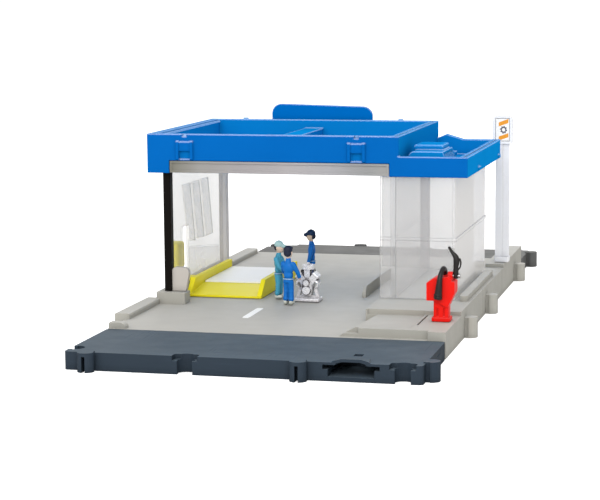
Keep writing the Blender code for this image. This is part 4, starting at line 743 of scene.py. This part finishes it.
board_low, board_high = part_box("roof_sign_board")
board_left = board_low[0] - BOARD_WIDER
board_outline = [(board_high[0], board_low[2])]
for centre_x, start in ((board_high[0] - BOARD_ROUND, 0), (board_left + BOARD_ROUND, 90)):
    for step in range(BOARD_ROUND_STEPS + 1):
        angle = math.radians(start + 90 * step / BOARD_ROUND_STEPS)
        x = centre_x + BOARD_ROUND * math.cos(angle)
        up = board_high[2] - BOARD_ROUND + BOARD_ROUND * math.sin(angle) - board_low[2]
        fall = 1 - BOARD_SLOPE * (x - board_left) / (board_high[0] - board_left)
        board_outline.append((x, board_low[2] + up * fall))
board_outline.append((board_left, board_low[2]))
board = extrude(bmesh.new(), board_outline, "Y", board_low[1], board_high[1])
piece_from("leaning_sign_board", board, BOARD_PLASTIC, "base", "roof_sign_board")

# The air unit is a stepped box: the louvred lower one, and a smaller one on it towards the rear.
UNIT_SHIFT = -0.0032
STEP_SIDES = (0.0009, 0.0054)
STEP_ENDS = (0.0105, 0.0009)
STEP_SUNK = 0.0005
STEP_TALL = 0.0028
STEP_ROUND = 0.0012
STEP_CUT = 0.3
STEP_BEVEL = 0.0008

unit_low, unit_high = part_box("rooftop_air_unit")
unit = shape_of("rooftop_air_unit")
for vertex in unit.verts:
    vertex.co.x += UNIT_SHIFT
step_left = unit_low[0] + UNIT_SHIFT + STEP_SIDES[0]
step_right = unit_high[0] + UNIT_SHIFT - STEP_SIDES[1]
step_foot = unit_high[2] - STEP_SUNK
step_top = unit_high[2] + STEP_TALL
corner = STEP_ROUND * STEP_CUT
step_outline = [
    (step_left, step_foot),
    (step_right, step_foot),
    (step_right, step_top - STEP_ROUND),
    (step_right - corner, step_top - corner),
    (step_right - STEP_ROUND, step_top),
    (step_left + STEP_ROUND, step_top),
    (step_left + corner, step_top - corner),
    (step_left, step_top - STEP_ROUND),
]
step_span = (unit_low[1] + STEP_ENDS[0], unit_high[1] - STEP_ENDS[1])
extrude(unit, step_outline, "Y", *step_span, STEP_BEVEL)
piece_from("stepped_air_unit", unit, ROOF_PLASTIC, "base", "rooftop_air_unit", FLAT)

header_low, header_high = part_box("header_panel")
HEADER_DRIFT = 0.03
HEADER_STOPS = [
    (0.0, (118, 116, 106)),
    (0.12, (144, 142, 138)),
    (0.35, (150, 146, 147)),
    (0.52, (162, 158, 159)),
    (0.72, (158, 157, 160)),
    (0.9, (140, 141, 141)),
    (1.0, (150, 149, 147)),
]


def header_colour(tree):
    """Silver print: brownish at its left end, pale in the middle and greyer to the right."""
    across = spread(tree, along(tree, "X"), header_low[0], header_high[0])
    drift = spread(tree, noise(tree, 30.0), 0.3, 0.7, -1.0, 1.0)
    drift = math_node(tree, "MULTIPLY_ADD", drift, HEADER_DRIFT, across)
    ramp = tree.nodes.new("ShaderNodeValToRGB")
    for number, (place, colour) in enumerate(HEADER_STOPS):
        if number in (0, 1):
            stop = ramp.color_ramp.elements[number]
            stop.position = place
        else:
            stop = ramp.color_ramp.elements.new(place)
        stop.color = (*tone(*colour), 1.0)
    tree.links.new(drift, ramp.inputs["Fac"])
    return ramp.outputs["Color"]


HEADER_PRINT = plastic(
    "header_print",
    header_colour,
    roughness=0.32,
    specular=0.2,
    shade_drift=0.06,
    edge_light=0.2,
    corner_shade=0.0,
)
dress("header_panel", HEADER_PRINT)


# Car lift: a yellow tray with a ramp, and a smooth white plate pressed into its floor.
# Its arm passes through the slot of the left wall to the yellow handle outside.
LIFT_YELLOW = plastic(
    "lift_yellow",
    tone(234, 219, 34),
    roughness=0.42,
    specular=0.2,
    edge_light=0.2,
    corner_shade=0.2,
    scuffs=0.3,
)
PLATE_WHITE = plastic(
    "plate_white", tone(248, 246, 242), roughness=0.35, specular=0.4, grain=0.05, scuffs=0.3
)
dress("lift_tray", LIFT_YELLOW)
dress("lift_handle", LIFT_YELLOW)
dress("lift_plate", PLATE_WHITE)


# Fuel pump: a red moulding that plugs into the pavement, with a black moulded hose up its front.
# The nozzle is a black moulding that swings on a steel pin beside the pump's ear.
# The pump's edges are painted paler, with a faint painted highlight on those that face up.
PUMP_RED = plastic(
    "pump_red",
    tone(225, 22, 12),
    roughness=0.35,
    specular=0.15,
    edge_light=0.3,
    edge_white=0.05,
    corner_shade=0.2,
)
# The hose's edges are painted paler, a painted highlight.
HOSE_BLACK = plastic(
    "hose_black", tone(34, 30, 28), roughness=0.4, specular=0.4, edge_light=0.6, grain=0.25
)
dress("pump_body", PUMP_RED)


def smooth_route(points, steps=6):
    """Points on a smooth curve through the given ones, each a place and a radius."""
    given = [Vector(point) for point in points]
    made = []
    for number in range(len(given) - 1):
        before = given[max(number - 1, 0)]
        start, end = given[number], given[number + 1]
        after = given[min(number + 2, len(given) - 1)]
        for step in range(steps):
            t = step / steps
            pull = start * 2 + (end - before) * t
            pull += (before * 2 - start * 5 + end * 4 - after) * t * t
            made.append((pull + (start * 3 - before - end * 3 + after) * t**3) / 2)
    return made + [given[-1]]


def sweep(shape, route, sides):
    """Adds a closed tube along a route of places with radii."""
    rings = []
    side = None
    for number, point in enumerate(route):
        after, before = route[min(number + 1, len(route) - 1)], route[max(number - 1, 0)]
        ahead = Vector(after[:3]) - Vector(before[:3])
        ahead.normalize()
        side = ahead.orthogonal() if side is None else side - ahead * side.dot(ahead)
        side.normalize()
        other = ahead.cross(side)
        ring = []
        for step in range(sides):
            angle = 2 * math.pi * step / sides
            offset = (side * math.cos(angle) + other * math.sin(angle)) * point[3]
            ring.append(shape.verts.new(Vector(point[:3]) + offset))
        rings.append(ring)
    for first, second in zip(rings, rings[1:]):
        for step in range(sides):
            after = (step + 1) % sides
            shape.faces.new((first[step], first[after], second[after], second[step]))
    shape.faces.new(rings[0][::-1])
    shape.faces.new(rings[-1])
    return shape


HOSE_ROUTE = [
    (0.0796, -0.10860, 0.0256, 0.00205),
    (0.0799, -0.10850, 0.0290, 0.00190),
    (0.0803, -0.10840, 0.0335, 0.00155),
    (0.0806, -0.10790, 0.0368, 0.00130),
    (0.0811, -0.10600, 0.0394, 0.00125),
    (0.0814, -0.10250, 0.0405, 0.00125),
    (0.0814, -0.09800, 0.0391, 0.00125),
    (0.0814, -0.09560, 0.0350, 0.00125),
    (0.0814, -0.09560, 0.0290, 0.00125),
]
HOSE_SIDES = 16
HOSE_SMOOTH = 50
FERRULE_HEIGHTS = (0.0262, 0.0274)
FERRULE_THICK = 0.0006

hose = sweep(bmesh.new(), smooth_route(HOSE_ROUTE), HOSE_SIDES)
for z in FERRULE_HEIGHTS:
    ferrule = [(0.0796, -0.10858, z, 0.00222), (0.0797, -0.10857, z + FERRULE_THICK, 0.00220)]
    sweep(hose, ferrule, HOSE_SIDES)
piece_from("moulded_hose", hose, HOSE_BLACK, "base", "pump_hose", HOSE_SMOOTH)

# The nozzle's grip and its trigger, each as steps right of the pin, up from it, and a radius.
EYE = Vector((0.0862, -0.1020, 0.0369))
GRIP = [
    (0.00150, -0.0014, 0.00115),
    (0.00150, 0.0014, 0.00140),
    (0.00150, 0.0044, 0.00135),
    (0.00180, 0.0074, 0.00160),
    (0.00130, 0.0098, 0.00140),
    (-0.00060, 0.0122, 0.00085),
    (-0.00220, 0.0148, 0.00070),
]
TRIGGER = [
    (0.00250, 0.0030, 0.00040),
    (0.00360, 0.0044, 0.00040),
    (0.00400, 0.0068, 0.00045),
    (0.00340, 0.0090, 0.00045),
]
GRIP_SIDES = 14
TRIGGER_SIDES = 8
NOZZLE_SMOOTH = 60

nozzle = bmesh.new()
for profile, sides in ((GRIP, GRIP_SIDES), (TRIGGER, TRIGGER_SIDES)):
    route = [(EYE.x + right, EYE.y, EYE.z + up, radius) for right, up, radius in profile]
    sweep(nozzle, smooth_route(route), sides)
piece_from(
    "swinging_nozzle", nozzle, HOSE_BLACK, "nozzle", "fuel_nozzle", NOZZLE_SMOOTH
)


# Road sign: a white stepped post with a rounded head, and a printed face pushed into its frame.
SIGN_WHITE = plastic(
    "sign_white", tone(228, 228, 230), roughness=0.4, specular=0.2, corner_shade=0.25
)
dress("sign_post", SIGN_WHITE)
face_low, face_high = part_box("sign_face")
PRINT_SPAN_X = (-1.3, 0.95)
PRINT_SPAN_Z = (-1.65, 1.65)
PRINT_SLANT = -0.32
BAR_LEVEL = 1.06
GEAR_TEETH = 8.0


def sign_colour(tree):
    """A plain print: two slanted orange bars over and under a dark gear ring, on white."""
    across = spread(tree, along(tree, "X"), face_low[0], face_high[0], *PRINT_SPAN_X)
    up = spread(tree, along(tree, "Z"), face_low[2], face_high[2], *PRINT_SPAN_Z)
    slanted = math_node(tree, "MULTIPLY_ADD", across, PRINT_SLANT, up)
    bar_length = spread(tree, math_node(tree, "ABSOLUTE", across), 0.86, 0.78)

    def bar(level):
        away = math_node(tree, "ABSOLUTE", math_node(tree, "SUBTRACT", slanted, level))
        return math_node(tree, "MULTIPLY", spread(tree, away, 0.34, 0.28), bar_length)

    bars = math_node(tree, "MAXIMUM", bar(BAR_LEVEL), bar(-BAR_LEVEL))
    squared = math_node(tree, "MULTIPLY", across, across)
    far = math_node(tree, "SQRT", math_node(tree, "MULTIPLY_ADD", up, up, squared))
    outer, inner = spread(tree, far, 0.62, 0.56), spread(tree, far, 0.24, 0.30)
    ring = math_node(tree, "MULTIPLY", outer, inner)
    turn = math_node(tree, "MULTIPLY", math_node(tree, "ARCTAN2", up, across), GEAR_TEETH)
    teeth = spread(tree, math_node(tree, "SINE", turn), -0.1, 0.3)
    rim = math_node(tree, "MULTIPLY", spread(tree, far, 0.46, 0.50), teeth)
    core = math_node(tree, "MULTIPLY", ring, math_node(tree, "SUBTRACT", 1.0, rim))
    barred = mixed(tree, bars, tone(236, 234, 230), tone(226, 148, 34))
    return mixed(tree, core, barred, tone(92, 88, 96))


SIGN_PRINT = plastic(
    "sign_print", sign_colour, roughness=0.35, specular=0.4, shade_drift=0.03, edge_light=0.0
)
dress("sign_face", SIGN_PRINT)


# Mechanics: one-piece mouldings in a soft plastic, painted after moulding, stood on their shoes.
# The overalls, head with hands, hair or cap, and shoes are separate skins of the one moulding.
# Their places and sizes are in figure units, 34 from the shoes to the crown.
FIGURE_TALL = 0.0335
FIGURE_UNITS = 34.0
FIGURE_SCALE = FIGURE_TALL / FIGURE_UNITS
FIGURE_FOOT = 0.0093
LIMB_STEPS = 4
LIMB_SIDES = 12
SKIN_VOXEL = 0.00034
SKIN_ROUNDS = 3
SKIN_SMOOTH = 180


def blob(shape, centre, radii, place):
    """Adds an ellipsoid."""
    local = Matrix.Translation(centre) @ Matrix.Diagonal((*radii, 1.0))
    bmesh.ops.create_uvsphere(shape, u_segments=16, v_segments=10, radius=1.0, matrix=place @ local)


def round_end(end, inner):
    """Rings of a limb's domed end, beyond its last point and away from the one before."""
    away = (Vector(end[:3]) - Vector(inner[:3])).normalized()
    end = Vector(end)
    for share in (0.35, 0.7, 0.95):
        yield (*(Vector(end[:3]) + away * end[3] * share), end[3] * math.sqrt(1 - share * share))


def limb(shape, points, place):
    """Adds a limb with round ends through places with radii, in figure units."""
    route = list(round_end(points[0], points[1]))[::-1]
    route += smooth_route(points, LIMB_STEPS)
    route += round_end(points[-1], points[-2])
    world = [(*(place @ Vector(point[:3])), point[3] * FIGURE_SCALE) for point in route]
    sweep(shape, world, LIMB_SIDES)


def skinned(name, shape, material, body, replaced=None):
    """Melts overlapping forms into one smooth skin."""
    piece = piece_from(name, shape, material, body, replaced, SKIN_SMOOTH)
    melt = piece.modifiers.new("melt", "REMESH")
    melt.mode = "VOXEL"
    melt.voxel_size = SKIN_VOXEL
    melt.use_smooth_shade = True
    soften = piece.modifiers.new("soften", "SMOOTH")
    soften.factor = 0.5
    soften.iterations = SKIN_ROUNDS
    graph = bpy.context.evaluated_depsgraph_get()
    made = bpy.data.meshes.new_from_object(piece.evaluated_get(graph))
    piece.modifiers.clear()
    old = piece.data
    piece.data = made
    bpy.data.meshes.remove(old)


def painted(name, colour, fold=0.1):
    """Paint on a soft moulding: painted shade gathers in the folds."""
    return plastic(
        name,
        colour,
        roughness=0.5,
        specular=0.25,
        shade_drift=fold,
        corner_shade=0.45,
        edge_light=0.0,
        grain=0.2,
        scuffs=0.1,
    )


FACE_PAINT = painted("face_paint", tone(214, 190, 172), 0.05)
HAIR_PAINT = painted("hair_paint", tone(34, 40, 60))
SHOE_PAINT = painted("shoe_paint", tone(196, 200, 190))
BELT_PAINT = painted("belt_paint", tone(150, 190, 225), 0.05)
BELT_HALF_WIDE = 3.02
BELT_HALF_DEEP = 2.14
BELT_BACK = 0.12
BELT_HEIGHT = 14.7
BELT_THICK = 0.00030
BELT_SIDES = 8
LOOP_STEPS = 24
LOOP_ANGLES = [2 * math.pi * step / LOOP_STEPS for step in range(LOOP_STEPS + 1)]


def figure(node, x, y, heading, hands, overall, cap):
    """One mechanic, with both hands' places, and a cap's paint or None for bare hair."""
    turned = Matrix.Rotation(math.radians(heading), 4, "Z")
    place = Matrix.Translation((x, y, FIGURE_FOOT)) @ turned @ Matrix.Scale(FIGURE_SCALE, 4)
    cloth = bmesh.new()
    blob(cloth, (0, 0.1, 20.8), (3.5, 2.3, 3.9), place)
    blob(cloth, (0, 0.0, 16.8), (2.9, 2.1, 3.2), place)
    blob(cloth, (0, 0.2, 13.6), (3.1, 2.2, 1.9), place)
    limb(cloth, [(0, 0.2, 23.6, 1.9), (0, -0.1, 25.6, 1.5)], place)
    skin = bmesh.new()
    blob(skin, (0, -0.35, 29.4), (2.25, 2.5, 2.75), place)
    blob(skin, (0, -1.1, 27.9), (1.6, 1.5, 1.35), place)
    blob(skin, (0, -2.95, 29.0), (0.42, 0.5, 0.6), place)
    limb(skin, [(0, 0.2, 24.8, 1.15), (0, -0.1, 27.4, 1.15)], place)
    shoes = bmesh.new()
    for side, hand in zip((-1, 1), hands):
        hand = Vector(hand)
        shoulder = Vector((side * 3.1, 0.1, 23.0))
        elbow = Vector(((side * 4.8 + hand.x) / 2, hand.y * 0.4, (shoulder.z + hand.z) / 2 - 0.5))
        wrist = hand + (elbow - hand).normalized() * 1.2
        limb(cloth, [(*shoulder, 1.55), (*elbow, 1.25), (*wrist, 1.2)], place)
        blob(cloth, elbow, (1.3, 1.3, 1.3), place)
        limb(skin, [(*wrist, 0.75), (*hand, 0.85)], place)
        blob(skin, hand + Vector((-side * 0.5, -0.5, 0.2)), (0.4, 0.6, 0.4), place)
        blob(skin, (side * 2.25, -0.1, 29.3), (0.4, 0.6, 0.8), place)
        hip = (side * 1.45, 0.1, 13.2, 1.75)
        limb(cloth, [hip, (side * 1.6, -0.3, 8.2, 1.5), (side * 1.7, 0.1, 3.0, 1.5)], place)
        blob(cloth, (side * 1.6, -0.2, 7.4), (1.62, 1.62, 0.8), place)
        blob(cloth, (side * 1.7, 0.1, 3.4), (1.72, 1.72, 0.8), place)
        blob(shoes, (side * 1.7, -0.9, 1.3), (1.3, 2.3, 1.25), place)
        blob(shoes, (side * 1.7, 0.5, 1.3), (1.25, 1.3, 1.6), place)
    skinned(f"{node}_overalls", cloth, overall, node, node)
    skinned(f"{node}_skin", skin, FACE_PAINT, node)
    skinned(f"{node}_shoes", shoes, SHOE_PAINT, node)
    belt = bmesh.new()
    ring = []
    for angle in LOOP_ANGLES:
        across = BELT_HALF_WIDE * math.cos(angle)
        deep = BELT_HALF_DEEP * math.sin(angle) + BELT_BACK
        ring.append((*(place @ Vector((across, deep, BELT_HEIGHT))), BELT_THICK))
    sweep(belt, ring, BELT_SIDES)
    piece_from(f"{node}_belt", belt, BELT_PAINT, node)
    top = bmesh.new()
    if cap:
        blob(top, (0, -0.2, 31.1), (2.55, 2.75, 2.4), place)
        limb(top, [(0, -2.2, 30.5, 1.35), (0, -3.6, 30.2, 1.15)], place)
        blob(top, (0, -0.2, 33.4), (0.5, 0.5, 0.3), place)
        skinned(f"{node}_cap", top, cap, node)
        top = bmesh.new()
        blob(top, (0, 0.5, 29.4), (2.3, 2.2, 2.2), place)
    else:
        blob(top, (0, 0.25, 30.9), (2.5, 2.6, 2.6), place)
        blob(top, (0, 0.9, 29.2), (2.35, 1.9, 2.2), place)
        blob(top, (-0.6, -1.5, 31.9), (1.6, 1.1, 0.9), place)
    skinned(f"{node}_hair", top, HAIR_PAINT, node)


REACHING = ((-5.8, -2.6, 14.8), (3.6, -4.4, 16.0))
HOLDING = ((-3.0, -4.6, 16.4), (3.0, -4.6, 16.4))
LEANING = ((-4.8, -1.6, 13.8), (4.8, -1.6, 13.8))
BLUE_PAINT = painted("overall_blue", tone(0, 106, 190))
TEAL_PAINT = painted("overall_teal", tone(64, 148, 176))
NAVY_PAINT = painted("cap_navy", tone(24, 50, 84))
PALE_PAINT = painted("cap_pale", tone(158, 190, 190))
figure("mechanic_front", -0.0145, -0.0460, 165, REACHING, BLUE_PAINT, None)
figure("mechanic_left", -0.0250, -0.0270, 80, HOLDING, TEAL_PAINT, PALE_PAINT)
figure("mechanic_rear", -0.0185, 0.0240, 280, LEANING, BLUE_PAINT, NAVY_PAINT)


# Engine on its stand: both are mouldings vacuum-plated silver, their recesses painted dark and dull
# as painted shade.
# Belt, leads and header pipes are small raised forms of the engine.
RECESS_SHADE_REACH = 0.0022
PLATE_EDGE = 0.0002
PLATE_GRAIN_DEPTH = 0.00005


def plated_film():
    """Shader group for vacuum plating: a bright film, mottled, and painted dark and dull in
    recesses as painted shade.
    """
    outputs = ("Colour", "Metallic", "Roughness", "Normal")
    colours = ("Bright", "Dark")
    group, given, result = finish_group("plated_film", colours, {"Roughness": 0.3}, outputs)
    link = group.links.new
    corners = group.nodes.new("ShaderNodeAmbientOcclusion")
    corners.samples = 6
    corners.inputs["Distance"].default_value = RECESS_SHADE_REACH
    recess_shade = spread(group, corners.outputs["AO"], 0.85, 0.35)
    mottle = spread(group, noise(group, 1100.0), 0.45, 0.7, 0.0, 0.35)
    recess_shade_and_mottle = math_node(group, "MINIMUM", math_node(group, "ADD", recess_shade, mottle), 1.0)
    link(mixed(group, recess_shade_and_mottle, given["Bright"], given["Dark"]), result["Colour"])
    link(spread(group, recess_shade_and_mottle, 0.0, 1.0, 0.4, 0.1), result["Metallic"])
    link(spread(group, recess_shade_and_mottle, 0.0, 1.0, given["Roughness"], 0.5), result["Roughness"])
    normal, _ = rounded_edge(group, PLATE_EDGE)
    grain = noise(group, 2400.0, detail=2.0)
    link(bumped(group, grain, 0.2, PLATE_GRAIN_DEPTH, normal), result["Normal"])
    return group


PLATED_FILM = plated_film()


def plated_silver(name, bright, dark, roughness):
    """A plastic moulding plated silver."""
    material, tree, shader = new_material(name)
    values = {"Bright": bright, "Dark": dark, "Roughness": roughness}
    lay_on(tree, shader, PLATED_FILM, values)
    return material


PLATED = plated_silver("plated_silver", tone(250, 249, 250), tone(96, 90, 96), roughness=0.25)
STAND_GREY = plated_silver(
    "stand_silver", tone(238, 236, 238), tone(136, 130, 130), roughness=0.35
)
dress("engine", PLATED)
dress("engine_stand", STAND_GREY)

ENGINE_X = -0.0071
ENGINE_Y = -0.0305
ENGINE_Z = 0.0128
ENGINE_FRONT = ENGINE_Y - 0.0044
DARK_WASH = plastic(
    "engine_dark", tone(58, 52, 56), roughness=0.5, corner_shade=0.3, grain=0.2
)

# The belt runs round a large wheel below and a smaller one above, each a height and a radius.
LOW_WHEEL = (0.0030, 0.0024)
TOP_WHEEL = (0.0072, 0.0018)
BELT_AHEAD = 0.0009
ENGINE_BELT_THICK = 0.00028

belt = bmesh.new()
belt_route = []
for angle in LOOP_ANGLES:
    middle, radius = LOW_WHEEL if math.sin(angle) < 0 else TOP_WHEEL
    across = ENGINE_X + radius * math.cos(angle)
    up = ENGINE_Z + (middle + radius * math.sin(angle))
    belt_route.append((across, ENGINE_FRONT - BELT_AHEAD, up, ENGINE_BELT_THICK))
sweep(belt, belt_route, BELT_SIDES)
piece_from("engine_belt", belt, DARK_WASH, "engine_on_stand")

# Each cylinder has a header pipe, with its points as steps out, back and up, and a radius.
# It has a thin lead too, with steps out, its share of the way from the middle, and steps up.
CYLINDERS = 4
FIRST_CYLINDER = -0.0029
CYLINDER_APART = 0.00195
PIPE = [
    (0.0046, 0.0, 0.0080, 0.00055),
    (0.0059, 0.0, 0.0066, 0.00055),
    (0.0056, 0.0004, 0.0050, 0.00055),
    (0.0046, 0.0010, 0.0042, 0.00060),
]
LEAD = [(0.0034, 1.0, 0.0128), (0.0030, 1.0, 0.0142), (0.0016, 0.6, 0.0136)]
LEAD_THICK = 0.00022
CURVE_STEPS = 5
PIPE_SIDES = 10
LEAD_SIDES = 6

pipes = bmesh.new()
leads = bmesh.new()
for side in (-1, 1):
    for number in range(CYLINDERS):
        y = ENGINE_Y + FIRST_CYLINDER + number * CYLINDER_APART
        pipe = []
        for out, back, up, radius in PIPE:
            pipe.append((ENGINE_X + side * out, y + back, ENGINE_Z + up, radius))
        sweep(pipes, smooth_route(pipe, CURVE_STEPS), PIPE_SIDES)
        lead = []
        for out, gather, up in LEAD:
            lead_y = ENGINE_Y + (y - ENGINE_Y) * gather
            lead.append((ENGINE_X + side * out, lead_y, ENGINE_Z + up, LEAD_THICK))
        sweep(leads, smooth_route(lead, CURVE_STEPS), LEAD_SIDES)
piece_from("engine_pipes", pipes, PLATED, "engine_on_stand")
piece_from("engine_leads", leads, DARK_WASH, "engine_on_stand")
